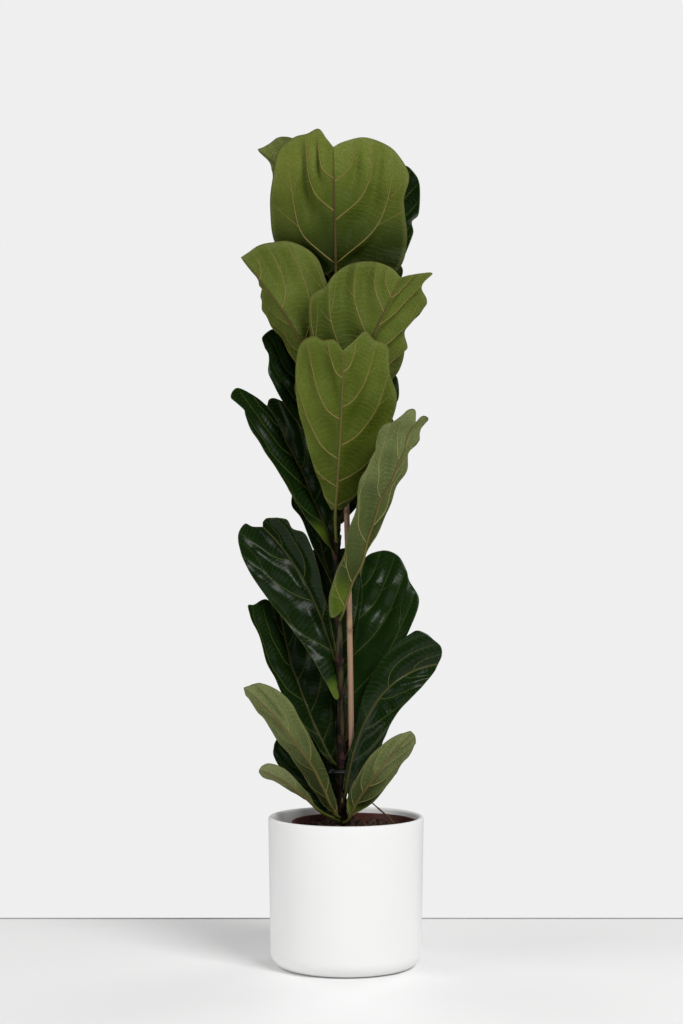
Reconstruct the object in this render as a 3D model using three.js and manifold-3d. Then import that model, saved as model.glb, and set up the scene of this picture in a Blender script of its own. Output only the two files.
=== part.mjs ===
// A potted fiddle leaf fig: one upright stem on a bamboo stake, thirty leaves set round it, in a
// brown nursery pot that stands inside a white cachepot.
// Units are millimetres, +Z is up. The origin is the middle of the cachepot's underside, on the
// surface that the pot stands on. -Y is the side that the plant shows to the viewer.
import * as THREE from 'three';
import { mergeVertices } from 'three/addons/utils/BufferGeometryUtils.js';
import Module from 'manifold-3d';

const wasm = await Module();
wasm.setup();

// ---- driving sizes --------------------------------------------------------------------------

const SEAT_GAP = 0.3;                 // left between pieces that rest on or in one another
const CACHEPOT = {
  height: 236, rimRadius: 123, wall: 8, footRadius: 95, bodyRadius: 119.5, cornerRadius: 24,
  floor: 12, innerCorner: 14, sides: 40,
};
const NURSERY = {
  x: 13, y: 3, baseRadius: 74, topRadius: 96, lipRadius: 99, top: 228, wall: 1.6, lipHeight: 9,
  drainHoles: 6, drainRadius: 5, drainCircle: 48, sides: 36,
};
const SOIL = { top: 215, moundHeight: 5, rings: 5, sides: 36, lump: 2.2 };
const STEM = { sides: 8, radiusBase: 6.6, radiusTop: 5.0, bottom: 150, top: 1100, budLength: 30 };
const STAKE = { radius: 4.65, sides: 8, bottom: 60, top: 850, nodeSpacing: 188, nodeSwell: 0.7, nodeHeight: 4 };
const CLIP = { z: 307, x: -6.1, halfLength: 21, halfDepth: 9.5, radius: 1.7, height: 5, sides: 20 };
const BLADE = { edge: 1.0, rib: 2.4, petioleRadius: 2.2, petioleSides: 5, rows: 2 };

// centre line of the stem, one point a line: x, y, z
const STEM_LINE = [
  [-6, 0, 40], [-6, 0, 230], [-8, 0, 420], [-11, 0, 520], [-14, -1, 640], [-16, -1, 760],
  [-17, 0, 900], [-17, 0, 1030], [-16, 0, 1100],
];
// centre line of the bamboo stake, which leans into the stem towards its top
const STAKE_LINE = [[9, 0, 45], [9, 0, 311], [7.5, 0, 420], [5, 0, 578], [1, 0, 724], [-2, 0, 850]];

// Outlines of half a blade, from its base to the notch at its apex: how far along the midrib
// (in blade lengths) and how far out from it (in half widths).
const OUTLINES = {
  obovate: [[0, 0], [-.03, .10], [0, .20], [.11, .41], [.20, .54], [.35, .68], [.50, .85], [.67, 1],
    [.86, .97], [1, .85], [1.08, .58], [1.09, .34], [1.05, .12], [1, 0]],
  round: [[0, 0], [-.03, .10], [0, .20], [.10, .38], [.20, .52], [.33, .68], [.47, .84], [.62, .97],
    [.76, 1], [.88, .84], [.96, .58], [1.02, .36], [1.03, .16], [1, 0]],
  lobed: [[0, 0], [-.06, .16], [0, .34], [.10, .40], [.22, .46], [.36, .62], [.50, .80], [.60, .97],
    [.74, .90], [.86, 1], [.96, .76], [1.04, .46], [1.03, .16], [1, 0]],
  wedge: [[0, 0], [-.03, .10], [.05, .17], [.13, .26], [.26, .44], [.40, .62], [.54, .80], [.67, .96],
    [.77, 1], [.87, .85], [.97, .70], [1.05, .44], [1.04, .14], [1, 0]],
  ovate: [[0, 0], [-.08, .18], [-.08, .45], [0, .72], [.12, .90], [.27, .98], [.40, 1], [.55, .98],
    [.64, .86], [.74, .90], [.98, .63], [1.06, .36], [1.07, .16], [1, 0]],
  paddle: [[0, 0], [-.03, .20], [.01, .40], [.10, .58], [.22, .70], [.36, .80], [.50, .90], [.64, .97],
    [.78, 1], [.89, .88], [.95, .64], [.98, .40], [.99, .20], [1, 0]],
  crown: [[0, 0], [-.07, .16], [-.06, .42], [0, .66], [.12, .88], [.28, .98], [.54, 1], [.82, .92],
    [.99, .82], [1.08, .60], [1.11, .40], [1.15, .22], [1.07, .10], [1, 0]],
  broad: [[0, 0], [-.07, .16], [-.12, .42], [-.09, .76], [.05, .92], [.24, .96], [.40, .94], [.55, .93],
    [.74, 1], [.92, .85], [1.01, .68], [1.07, .41], [1.04, .14], [1, 0]],
  sickle: [[0, 0], [-.05, .18], [0, .32], [.10, .42], [.22, .54], [.34, .86], [.47, 1], [.62, .84],
    [.76, .50], [.82, .27], [.88, .11], [.93, .07], [.97, .05], [1, 0]],
  peak: [[0, 0], [-.03, .12], [0, .24], [.10, .45], [.20, .62], [.33, .78], [.46, .88], [.62, 1],
    [.77, .98], [.87, .83], [.93, .64], [.95, .42], [.97, .18], [1, 0]],
  gusset: [[0, 0], [-.03, .10], [0, .21], [.10, .41], [.19, .58], [.28, .80], [.40, .99], [.53, 1],
    [.65, .88], [.74, .55], [.82, .14], [.89, .09], [.95, .06], [1, 0]],
  plume: [[0, 0], [-.03, .11], [0, .22], [.10, .42], [.20, .58], [.33, .75], [.45, .84], [.59, .91],
    [.73, 1], [.87, .84], [.94, .58], [.98, .36], [.99, .17], [1, 0]],
  heart: [[0, 0], [-.07, .16], [-.12, .42], [-.04, .66], [.12, .73], [.32, .76], [.46, .90], [.59, 1],
    [.70, .88], [.81, .83], [.93, .68], [1.01, .43], [1.03, .18], [1, 0]],
  bay: [[0, 0], [-.05, .22], [.02, .50], [.12, .82], [.25, .99], [.41, 1], [.56, .84], [.69, .74],
    [.81, .89], [.93, .79], [1.02, .54], [1.13, .63], [1.07, .29], [1, 0]],
  frill: [[0, 0], [-.06, .18], [0, .36], [.10, .45], [.22, .52], [.36, .70], [.51, .92], [.70, 1],
    [.83, .80], [.90, .85], [.98, .78], [1.03, .40], [1.02, .18], [1, 0]],
  shield: [[0, 0], [-.03, .10], [0, .22], [.10, .38], [.22, .55], [.38, .76], [.57, .94], [.80, 1],
    [1.02, .92], [1.10, .64], [1.07, .42], [1.08, .21], [1.04, .08], [1, 0]],
  kite: [[0, 0], [-.03, .10], [-.01, .27], [.09, .44], [.19, .57], [.32, .73], [.49, .91], [.66, 1],
    [.84, .86], [1.02, .82], [1.07, .58], [1.14, .40], [1.06, .18], [1, 0]],
  beak: [[0, 0], [-.05, .20], [0, .34], [.10, .44], [.22, .57], [.36, .71], [.50, .84], [.71, .92],
    [.91, .96], [1.05, .80], [1.14, 1], [1.20, .62], [1.11, .25], [1, 0]],
  ruffled: [[0, 0], [-.06, .22], [.01, .48], [.09, .58], [.20, .60], [.33, .65], [.48, .74], [.58, .93],
    [.74, .74], [.87, 1], [.97, .56], [1.06, .42], [1.08, .20], [1, 0]],
  strap: [[0, 0], [-.03, .10], [0, .22], [.10, .42], [.20, .56], [.33, .71], [.47, .85], [.62, .97],
    [.79, 1], [.93, .72], [1.02, .84], [1.05, .58], [1.05, .21], [1, 0]],
  swept: [[0, 0], [-.03, .10], [0, .20], [.10, .30], [.22, .36], [.36, .44], [.50, .62], [.62, .85],
    [.73, 1], [.82, .80], [.90, .85], [1, .46], [1.02, .18], [1, 0]],
  eared: [[0, 0], [-.20, .14], [-.24, .32], [-.13, .44], [-.01, .57], [.13, .67], [.30, .83], [.50, .98],
    [.73, 1], [.95, .86], [1.09, .57], [1.12, .24], [1.06, .16], [1, 0]],
  scallop: [[0, 0], [-.03, .10], [.05, .19], [.13, .33], [.25, .51], [.42, .71], [.59, .91], [.77, 1],
    [.89, .81], [.96, .74], [1.05, .58], [1.08, .36], [1.05, .13], [1, 0]],
  shoulder: [[0, 0], [-.03, .10], [.05, .16], [.13, .25], [.26, .39], [.40, .54], [.54, .71], [.71, .91],
    [.87, 1], [.96, .89], [1.02, .65], [1.06, .39], [1.05, .15], [1, 0]],
  hooked: [[0, 0], [-.03, .10], [.02, .20], [.13, .27], [.27, .40], [.42, .56], [.56, .69], [.70, .78],
    [.82, .83], [.95, .94], [1.05, 1], [1.06, .80], [1.10, .40], [1, 0]],
  keel: [[0, 0], [-.03, .10], [0, .22], [.08, .45], [.15, .68], [.22, .90], [.30, 1], [.41, .98],
    [.52, .94], [.65, .92], [.78, .80], [.89, .55], [.96, .29], [1, 0]],
  hump: [[0, 0], [-.03, .08], [.08, .11], [.24, .13], [.42, .14], [.58, .24], [.71, .46], [.82, .79],
    [.90, 1], [.95, .88], [.99, .66], [1.03, .46], [1.03, .22], [1, 0]],
  spoon: [[0, 0], [-.03, .22], [.02, .42], [.10, .62], [.20, .80], [.33, .94], [.47, 1], [.60, .95],
    [.72, .86], [.84, .66], [.91, .54], [.95, .38], [.98, .18], [1, 0]],
  trough: [[0, 0], [-.03, .14], [.01, .24], [.08, .34], [.20, .48], [.35, .65], [.50, .80], [.62, .90],
    [.75, 1], [.86, .93], [.93, .71], [.96, .45], [.98, .21], [1, 0]],
  oar: [[0, 0], [-.03, .14], [.03, .24], [.10, .34], [.20, .44], [.31, .54], [.43, .66], [.55, .82],
    [.66, .96], [.76, 1], [.86, .86], [.93, .62], [.98, .32], [1, 0]],
  lance: [[0, 0], [-.03, .22], [.01, .45], [.08, .66], [.18, .84], [.29, .96], [.42, 1], [.54, .97],
    [.66, .94], [.78, .88], [.87, .66], [.94, .38], [.99, .18], [1, 0]],
  belly: [[0, 0], [-.03, .15], [.01, .32], [.07, .48], [.16, .62], [.25, .76], [.36, .90], [.48, 1],
    [.62, .88], [.74, .80], [.85, .70], [.93, .51], [.98, .26], [1, 0]],
};
// where the side vein that ends at each outline point leaves the midrib, in blade lengths
const VEIN_STARTS = [0, 0, 0, .015, .03, .08, .16, .28, .44, .60, .75, .87, .95, 1];
// the outline points that the solid blade keeps
const BLADE_STATIONS = [0, 2, 4, 5, 6, 7, 8, 9, 10, 11, 12, 13];

// One leaf a line, from the top of the stem down: height of its node on the stem; outlines of its
// two halves; the midrib's base, middle and tip; the compass direction (degrees from +X towards
// +Y) that its upper side looks to at base and tip; half widths; how far each half folds up, in
// degrees; and how much more it folds at the ears beside the base.
const LEAVES = [
  leaf(1085, ['crown', 'broad'], [-16, -14, 1104], [-18, -38, 1195], [-20, -60, 1285], [90, 90], [104, 120], [12, 8], [0, 0]),
  leaf(1060, ['sickle', 'peak'], [-22, 8, 1090], [-71, 17, 1213], [-142, 30, 1297], [60, 60], [38, 58], [10, 12], [20, 20]),
  leaf(1045, ['ovate', 'round'], [-8, 16, 1075], [30, 54, 1180], [76, 84, 1272], [260, 260], [82, 50], [2, 15], [0, 0]),
  leaf(985, ['round', 'round'], [-15, 14, 1000], [-20, 44, 1090], [-28, 62, 1165], [275, 275], [60, 60], [10, 12], [20, 20]),
  leaf(935, ['round', 'lobed'], [-10, 14, 950], [4, 74, 1060], [18, 124, 1140], [262, 262], [85, 74], [10, 12], [20, 20]),
  leaf(905, ['lobed', 'round'], [-18, 12, 918], [-46, 76, 1020], [-72, 128, 1085], [305, 305], [60, 46], [10, 12], [20, 20]),
  leaf(872, ['gusset', 'plume'], [-24, -12, 887], [-87, -26, 1013], [-166, -38, 1116], [75, 75], [55, 91], [45, 15], [20, 20]),
  leaf(868, ['heart', 'bay'], [-8, -26, 885], [38, -50, 985], [86, -66, 1082], [100, 100], [113, 106], [5, 42], [-5, 20]),
  leaf(820, ['round', 'round'], [-10, 12, 835], [26, 54, 930], [58, 90, 1000], [258, 258], [36, 52], [10, 12], [20, 20]),
  leaf(770, ['round', 'frill'], [-26, 10, 790], [-62, 40, 905], [-102, 64, 1008], [285, 285], [42, 56], [20, 20], [20, 20]),
  leaf(752, ['obovate', 'wedge'], [-12, 22, 768], [2, 88, 876], [12, 130, 944], [265, 265], [80, 62], [4, 12], [0, 0]),
  leaf(690, ['round', 'round'], [-8, 13, 706], [26, 18, 800], [54, 34, 880], [250, 250], [44, 26], [15, 15], [0, 0]),
  leaf(668, ['shield', 'kite'], [-16, -22, 727], [-8, -62, 857], [-5, -86, 967], [90, 90], [76, 88], [12, 12], [20, 20]),
  leaf(640, ['round', 'beak'], [-22, 8, 662], [-72, 24, 785], [-127, 40, 887], [300, 300], [44, 65], [22, 20], [20, 20]),
  leaf(588, ['round', 'round'], [-20, 10, 600], [-48, 58, 690], [-76, 98, 755], [310, 310], [42, 42], [10, 12], [20, 20]),
  leaf(545, ['ruffled', 'strap'], [-2, -25, 568], [56, -60, 737], [109, -86, 855], [125, 125], [55, 65], [0, 38], [20, 20]),
  leaf(478, ['swept', 'eared'], [-20, 8, 491], [-68, 16, 610], [-133, 24, 694], [270, 270], [59, 66], [42, 8], [20, 20]),
  leaf(428, ['obovate', 'obovate'], [-12, 13, 440], [-16, 34, 545], [-22, 54, 640], [275, 275], [44, 60], [10, 12], [20, 20]),
  leaf(350, ['scallop', 'shoulder'], [2, 20, 364], [12, 50, 513], [27, 80, 640], [270, 270], [99, 71], [6, 6], [0, 0]),
  leaf(324, ['round', 'round'], [6, 24, 342], [36, 74, 440], [60, 112, 530], [255, 255], [36, 40], [10, 12], [20, 20]),
  leaf(313, ['round', 'hooked'], [-24, 13, 326], [-78, 34, 448], [-106, 54, 556], [290, 290], [62, 69], [15, 25], [20, 20]),
  leaf(285, ['round', 'round'], [-10, 20, 300], [-24, 42, 372], [-40, 66, 436], [275, 275], [22, 38], [15, 12], [20, 20]),
  leaf(262, ['keel', 'hump'], [2, -14, 290], [52, -6, 422], [146, 8, 476], [262, 262], [40, 60], [10, 6], [0, 0]),
  leaf(250, ['round', 'round'], [8, 16, 266], [22, 48, 330], [36, 78, 386], [255, 255], [38, 26], [10, 12], [20, 20]),
  leaf(248, ['paddle', 'paddle'], [-16, 12, 258], [-46, 46, 322], [-76, 78, 370], [320, 320], [22, 30], [10, 12], [20, 20]),
  leaf(240, ['round', 'round'], [-8, 15, 249], [-10, 68, 322], [-12, 114, 380], [265, 265], [28, 26], [10, 12], [20, 20]),
  leaf(232, ['spoon', 'trough'], [-18, -20, 244], [-76, -60, 356], [-158, -97, 446], [70, 60], [31, 32], [15, 45], [10, 0]),
  leaf(230, ['paddle', 'paddle'], [-22, 0, 244], [-64, -5, 300], [-106, -12, 365], [290, 290], [26, 30], [15, 15], [20, 20]),
  leaf(226, ['oar', 'oar'], [-53, -46, 261], [-90, -64, 295], [-134, -84, 318], [70, 70], [14, 17], [20, 20], [20, 20]),
  leaf(224, ['lance', 'belly'], [7, -32, 240], [46, -56, 311], [103, -84, 375], [110, 120], [21, 41], [35, 10], [20, 20]),
];

const WAVE = { height: 3, count: 2.2, phaseStep: 1.3, sideShift: 1.9 };   // slow waves of the blade's edge
const EAR_LENGTH = 0.22;              // stretch of the blade beside its base that folds up more

const COLOURS = {
  glaze: 0xf2f2f0, nursery: 0x4a1f1a, soil: 0x33241c, stem: 0x5b5238, cane: 0xb08a68, clip: 0x16171a,
  stalk: 0x5a4028, upper: 0x24401c, young: 0x5f7a34,
};

// ---- small helpers --------------------------------------------------------------------------

const radians = THREE.MathUtils.degToRad;

function leaf(node, outlines, base, mid, tip, face, halfWidths, folds, ears) {
  return { node, outlines, base, mid, tip, face, halfWidths, folds, ears };
}

function material(colour, roughness) {
  return new THREE.MeshStandardMaterial({ color: colour, roughness, metalness: 0, side: THREE.FrontSide });
}

function vector(point) {
  return new THREE.Vector3(...point);
}

// A closed mesh from points and triangles; equal points become one and flat triangles drop out.
function closedGeometry(points, triangles) {
  const ids = new Map();
  const kept = [];
  const index = [];
  const id = points.map((p) => {
    const key = [p.x, p.y, p.z].map((v) => Math.round(v * 1e4)).join(' ');
    if (!ids.has(key)) {
      ids.set(key, kept.length);
      kept.push(p);
    }
    return ids.get(key);
  });
  for (const [a, b, c] of triangles) {
    if (id[a] !== id[b] && id[b] !== id[c] && id[c] !== id[a]) index.push(id[a], id[b], id[c]);
  }
  return new THREE.BufferGeometry().setFromPoints(kept).setIndex(index);
}

function toSolid(geometry) {
  const bare = geometry.clone();
  bare.deleteAttribute('normal');
  bare.deleteAttribute('uv');
  const merged = mergeVertices(bare, 1e-4);
  const mesh = new wasm.Mesh({
    numProp: 3,
    vertProperties: new Float32Array(merged.attributes.position.array),
    triVerts: new Uint32Array(merged.index.array),
  });
  return new wasm.Manifold(mesh);
}

function toGeometry(solid) {
  const mesh = solid.getMesh();
  const geometry = new THREE.BufferGeometry();
  geometry.setAttribute('position', new THREE.BufferAttribute(new Float32Array(mesh.vertProperties), 3));
  geometry.setIndex(new THREE.BufferAttribute(new Uint32Array(mesh.triVerts), 1));
  geometry.computeVertexNormals();
  return geometry;
}

// The largest body of a solid, in case a cut leaves a scrap beside it.
function mainBody(solid) {
  return solid.decompose().reduce((best, piece) => (piece.volume() > best.volume() ? piece : best));
}

// Point at a height on a line of points that climbs in z.
function lineAt(line, z) {
  const next = Math.max(1, line.findIndex((p) => p[2] >= z));
  const [low, high] = [vector(line[next - 1]), vector(line[next])];
  return low.lerp(high, (z - low.z) / (high.z - low.z));
}

// A closed round bar: one ring of points round each point of the path, and a lid on both ends.
function bar(path, radii, sides) {
  const points = [];
  const triangles = [];
  const reference = new THREE.Vector3(0.3, 0.9, 0.1);
  path.forEach((centre, i) => {
    const ahead = path[Math.min(i + 1, path.length - 1)];
    const behind = path[Math.max(i - 1, 0)];
    const along = ahead.clone().sub(behind).normalize();
    const across = along.clone().cross(reference).normalize();
    const up = along.clone().cross(across);
    for (let k = 0; k < sides; k += 1) {
      const turn = (2 * Math.PI * k) / sides;
      points.push(centre.clone()
        .addScaledVector(across, radii[i] * Math.cos(turn))
        .addScaledVector(up, radii[i] * Math.sin(turn)));
    }
  });
  const first = points.push(path[0].clone()) - 1;
  const last = points.push(path[path.length - 1].clone()) - 1;
  const lastRing = (path.length - 1) * sides;
  for (let k = 0; k < sides; k += 1) {
    const turn = (k + 1) % sides;
    for (let i = 0; i < path.length - 1; i += 1) {
      const [a, b] = [i * sides + k, i * sides + turn];
      triangles.push([a, b, b + sides], [a, b + sides, a + sides]);
    }
    triangles.push([first, turn, k], [last, lastRing + k, lastRing + turn]);
  }
  return closedGeometry(points, triangles);
}

// A turned piece: the profile's [radius, height] points go round the Z axis.
function turned(profile, sides) {
  const geometry = new THREE.LatheGeometry(profile.map(([r, z]) => new THREE.Vector2(r, z)), sides);
  geometry.rotateX(Math.PI / 2);
  return geometry;
}

// Points on an arc of a profile, from one angle to another, in degrees.
function arc(r, z, radius, from, to, steps) {
  return Array.from({ length: steps + 1 }, (_, i) => {
    const angle = radians(from + ((to - from) * i) / steps);
    return [r + radius * Math.cos(angle), z + radius * Math.sin(angle)];
  });
}

// ---- leaves ---------------------------------------------------------------------------------

// Catmull-Rom curve through an outline's points; station 0 is the first point, 1 the second ...
function outlineAt(outline, station) {
  const last = outline.length - 1;
  const i = Math.min(Math.floor(station), last - 1);
  const f = station - i;
  const at = (k) => {
    if (k < 0) return outline[0].map((v, axis) => 2 * v - outline[1][axis]);
    if (k > last) return outline[last].map((v, axis) => 2 * v - outline[last - 1][axis]);
    return outline[k];
  };
  const [a, b, c, d] = [at(i - 1), at(i), at(i + 1), at(i + 2)];
  return [0, 1].map((axis) => 0.5 * (2 * b[axis] + (c[axis] - a[axis]) * f
    + (2 * a[axis] - 5 * b[axis] + 4 * c[axis] - d[axis]) * f ** 2
    + (3 * b[axis] - a[axis] - 3 * c[axis] + d[axis]) * f ** 3));
}

// The midrib is the parabola through base, middle and tip, and goes on straight past both ends.
function midribAt(row, t) {
  const [base, mid, tip] = [vector(row.base), vector(row.mid), vector(row.tip)];
  const slope = mid.clone().multiplyScalar(4).addScaledVector(base, -3).sub(tip);
  const curve = base.clone().add(tip).addScaledVector(mid, -2).multiplyScalar(2);
  const inside = THREE.MathUtils.clamp(t, 0, 1);
  const direction = slope.clone().addScaledVector(curve, 2 * inside);
  const point = base.clone().addScaledVector(slope, inside).addScaledVector(curve, inside ** 2)
    .addScaledVector(direction, t - inside);
  return { point, tangent: direction.normalize() };
}

// A point of the blade's middle surface and the direction its upper side faces there.
// side is +1 for the first half and -1 for the second; u runs from the midrib (0) to the edge (1)
// along a side vein that bends forward as it goes out.
function bladePoint(row, side, station, u) {
  const half = side > 0 ? 0 : 1;
  const [edgeAlong, edgeAcross] = outlineAt(OUTLINES[row.outlines[half]], station);
  const start = VEIN_STARTS[station];
  const along = start + (edgeAlong - start) * u ** 1.5;
  const across = edgeAcross * u;
  const inside = THREE.MathUtils.clamp(along, 0, 1);
  const { point, tangent } = midribAt(row, along);
  const face = radians(row.face[0] + (row.face[1] - row.face[0]) * inside);
  const upper = new THREE.Vector3(Math.cos(face), Math.sin(face), 0);
  upper.addScaledVector(tangent, -upper.dot(tangent)).normalize();
  const outward = tangent.clone().cross(upper).multiplyScalar(side);
  const ear = row.ears[half] * Math.max(0, 1 - inside / EAR_LENGTH) ** 2;
  const fold = radians(row.folds[half] + ear);
  const distance = across * row.halfWidths[half];
  const wave = WAVE.height * across ** 2
    * Math.sin(2 * Math.PI * WAVE.count * along + row.phase + (side > 0 ? 0 : WAVE.sideShift));
  point.addScaledVector(outward, distance * Math.cos(fold))
    .addScaledVector(upper, distance * Math.sin(fold) + wave);
  const onRib = u === 0 || station === 0 || station === VEIN_STARTS.length - 1;
  const normal = upper.clone();
  if (!onRib) normal.multiplyScalar(Math.cos(fold)).addScaledVector(outward, -Math.sin(fold)).normalize();
  return { point, normal, onRib };
}

// The blade as a thin closed solid, thicker at the midrib. Both faces are split alike.
function bladeSolid(row) {
  const points = [];
  const triangles = [];
  const { rows } = BLADE;
  for (const side of [1, -1]) {
    const id = BLADE_STATIONS.map((station) => Array.from({ length: rows + 1 }, (_, j) => {
      const { point, normal, onRib } = bladePoint(row, side, station, j / rows);
      const half = (onRib ? BLADE.rib : BLADE.edge) / 2;
      const top = points.push(point.clone().addScaledVector(normal, half)) - 1;
      const under = points.push(point.clone().addScaledVector(normal, -half)) - 1;
      return [top, under];
    }));
    const add = (a, b, c, flip) => triangles.push(flip ? [a, c, b] : [a, b, c]);
    for (let i = 0; i < BLADE_STATIONS.length - 1; i += 1) {
      for (let j = 0; j < rows; j += 1) {
        for (const face of [0, 1]) {
          const [a, b, c, d] = [id[i][j][face], id[i + 1][j][face], id[i + 1][j + 1][face], id[i][j + 1][face]];
          const flip = (face === 0) === (side < 0);
          add(a, d, c, flip);
          add(a, c, b, flip);
        }
      }
      const [a, b] = [id[i][rows], id[i + 1][rows]];
      add(a[0], b[0], b[1], side > 0);
      add(a[0], b[1], a[1], side > 0);
    }
  }
  return toSolid(closedGeometry(points, triangles));
}

// The stalk leaves the stem outwards and a little up, and bends into the line of the midrib.
function petiolePath(row) {
  const start = lineAt(STEM_LINE, row.node);
  const end = vector(row.base);
  const { tangent } = midribAt(row, 0);
  const reach = start.distanceTo(end) * 0.38;
  const leave = end.clone().sub(start).setZ(0).normalize().multiplyScalar(0.9).setZ(0.45).normalize();
  const curve = new THREE.CubicBezierCurve3(
    start, start.clone().addScaledVector(leave, reach), end.clone().addScaledVector(tangent, -reach), end,
  );
  return [...curve.getPoints(4), end.clone().addScaledVector(tangent, 12)];
}

function leafSolid(row) {
  const path = petiolePath(row);
  const petiole = toSolid(bar(path, path.map(() => BLADE.petioleRadius), BLADE.petioleSides));
  return mainBody(bladeSolid(row).add(petiole).subtract(stemSolid(SEAT_GAP)));
}

// ---- stem and what holds it -----------------------------------------------------------------

function stemRadius(z) {
  const t = THREE.MathUtils.clamp((z - STEM.bottom) / (STEM.top - STEM.bottom), 0, 1);
  return STEM.radiusBase + (STEM.radiusTop - STEM.radiusBase) * t;
}

// The plain stem from its foot in the soil to its top, with clearance all round it when asked.
function stemSolid(clearance) {
  const spacing = 50;
  const count = Math.round((STEM.top - STEM.bottom) / spacing);
  const heights = Array.from({ length: count + 1 }, (_, i) => STEM.bottom + i * spacing);
  const radii = heights.map((z) => stemRadius(z) + clearance);
  heights[0] -= clearance;
  heights[count] += clearance;
  return toSolid(bar(heights.map((z) => lineAt(STEM_LINE, Math.min(z, STEM.top))), radii, STEM.sides));
}

// A dry scale or a bud: a slim cone that leans out from the stem.
function scaleSolid(z, direction, length, radius, lean) {
  const out = new THREE.Vector3(Math.cos(direction), Math.sin(direction), 0);
  const foot = lineAt(STEM_LINE, z).addScaledVector(out, stemRadius(z) - radius);
  const axis = out.clone().multiplyScalar(Math.sin(lean)).setZ(Math.cos(lean));
  const path = [0, 0.45, 1].map((t) => foot.clone().addScaledVector(axis, t * length));
  return toSolid(bar(path, [radius, radius * 0.9, radius * 0.12], 4));
}

function stem() {
  let solid = stemSolid(0);
  LEAVES.forEach((row, i) => {
    const centre = lineAt(STEM_LINE, row.node);
    const towards = Math.atan2(row.base[1] - centre.y, row.base[0] - centre.x);
    const direction = towards + radians(i % 2 ? 108 : -108);
    solid = solid.add(scaleSolid(row.node + 4, direction, 11, 2.6, radians(14)));
  });
  const greenBud = scaleSolid(257, radians(270), 10, 2.8, radians(8));
  const topBud = scaleSolid(STEM.top - 4, radians(60), STEM.budLength, STEM.radiusTop - 0.6, radians(4));
  return mainBody(solid.add(greenBud).add(topBud));
}

// The bamboo cane, straight between its points, with a raised ring at each of its nodes.
function stakeSolid(clearance) {
  const heights = [STAKE.bottom - clearance];
  for (let z = STAKE.bottom + STAKE.nodeSpacing * 0.5; z < STAKE.top - STAKE.nodeHeight; z += STAKE.nodeSpacing) {
    heights.push(z - STAKE.nodeHeight, z, z + STAKE.nodeHeight);
  }
  heights.push(STAKE.top);
  const radii = heights.map((z, i) => {
    const onNode = i > 0 && i < heights.length - 1 && (i - 2) % 3 === 0;
    return STAKE.radius + clearance + (onNode ? STAKE.nodeSwell : 0);
  });
  return toSolid(bar(heights.map((z) => lineAt(STAKE_LINE, z)), radii, STAKE.sides));
}

// The plastic clip: an oval loop with a flat band's section, round stem and stake together.
function clip() {
  const { z, x, halfLength, halfDepth, radius, height, sides } = CLIP;
  const points = [];
  const triangles = [];
  const section = [[-1, -1], [1, -1], [1, 1], [-1, 1]];
  for (let k = 0; k < sides; k += 1) {
    const turn = (2 * Math.PI * k) / sides;
    for (const [out, up] of section) {
      const grow = out * radius * 0.5;
      points.push(new THREE.Vector3(
        x + (halfLength + grow) * Math.cos(turn), (halfDepth + grow) * Math.sin(turn), z + (up * height) / 2,
      ));
    }
  }
  for (let k = 0; k < sides; k += 1) {
    for (let c = 0; c < 4; c += 1) {
      const [a, b] = [k * 4 + c, k * 4 + ((c + 1) % 4)];
      const [d, e] = [((k + 1) % sides) * 4 + c, ((k + 1) % sides) * 4 + ((c + 1) % 4)];
      triangles.push([a, d, e], [a, e, b]);
    }
  }
  return closedGeometry(points, triangles);
}

// ---- pots and soil --------------------------------------------------------------------------

function cachepot() {
  const p = CACHEPOT;
  const lipRadius = p.wall / 2;
  const innerRadius = p.bodyRadius - p.wall;
  const profile = [
    [0, 0], [p.footRadius, 0],
    ...arc(p.bodyRadius - p.cornerRadius, p.cornerRadius, p.cornerRadius, -82, 0, 4),
    ...arc(p.rimRadius - lipRadius, p.height - lipRadius, lipRadius, 0, 180, 4),
    ...arc(innerRadius - p.innerCorner, p.floor + p.innerCorner, p.innerCorner, 0, -90, 2),
    [0, p.floor],
  ];
  return turned(profile, p.sides);
}

// Radius of the nursery pot's inner wall at a height.
function nurseryInner(z) {
  const bottom = CACHEPOT.floor + SEAT_GAP;
  const t = (z - bottom) / (NURSERY.top - bottom);
  return NURSERY.baseRadius + (NURSERY.topRadius - NURSERY.baseRadius) * t - NURSERY.wall;
}

function nurseryPot() {
  const n = NURSERY;
  const bottom = CACHEPOT.floor + SEAT_GAP;
  const inner = nurseryInner(n.top);
  const profile = [
    [0, bottom], [n.baseRadius - 3, bottom], [n.baseRadius, bottom + 3],
    [nurseryInner(n.top - n.lipHeight) + n.wall, n.top - n.lipHeight],
    [n.lipRadius, n.top - n.lipHeight], [n.lipRadius, n.top - 1], [n.lipRadius - 1, n.top],
    [inner + 0.6, n.top], [inner, n.top - 0.8],
    [nurseryInner(bottom + n.wall + 2), bottom + n.wall + 2], [nurseryInner(bottom) - 2, bottom + n.wall],
    [0, bottom + n.wall],
  ];
  let solid = toSolid(turned(profile, n.sides));
  for (let i = 0; i < n.drainHoles; i += 1) {
    const turn = (2 * Math.PI * i) / n.drainHoles;
    const drill = new THREE.CylinderGeometry(n.drainRadius, n.drainRadius, 4 * n.wall, 8);
    drill.rotateX(Math.PI / 2);
    drill.translate(n.drainCircle * Math.cos(turn), n.drainCircle * Math.sin(turn), bottom + n.wall / 2);
    solid = solid.subtract(toSolid(drill));
  }
  return toGeometry(solid);
}

// Height of the soil at a place in the nursery pot's own frame: a low mound with crumbly lumps.
function soilHeight(x, y) {
  const r = Math.hypot(x, y) / NURSERY.topRadius;
  const lumps = Math.sin(x / 9.1 + 1.3) * Math.cos(y / 7.7) + 0.6 * Math.sin((x + 2 * y) / 13.7 + 0.5);
  return SOIL.top + SOIL.moundHeight * (1 - r * r) + SOIL.lump * lumps * 0.6;
}

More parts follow.
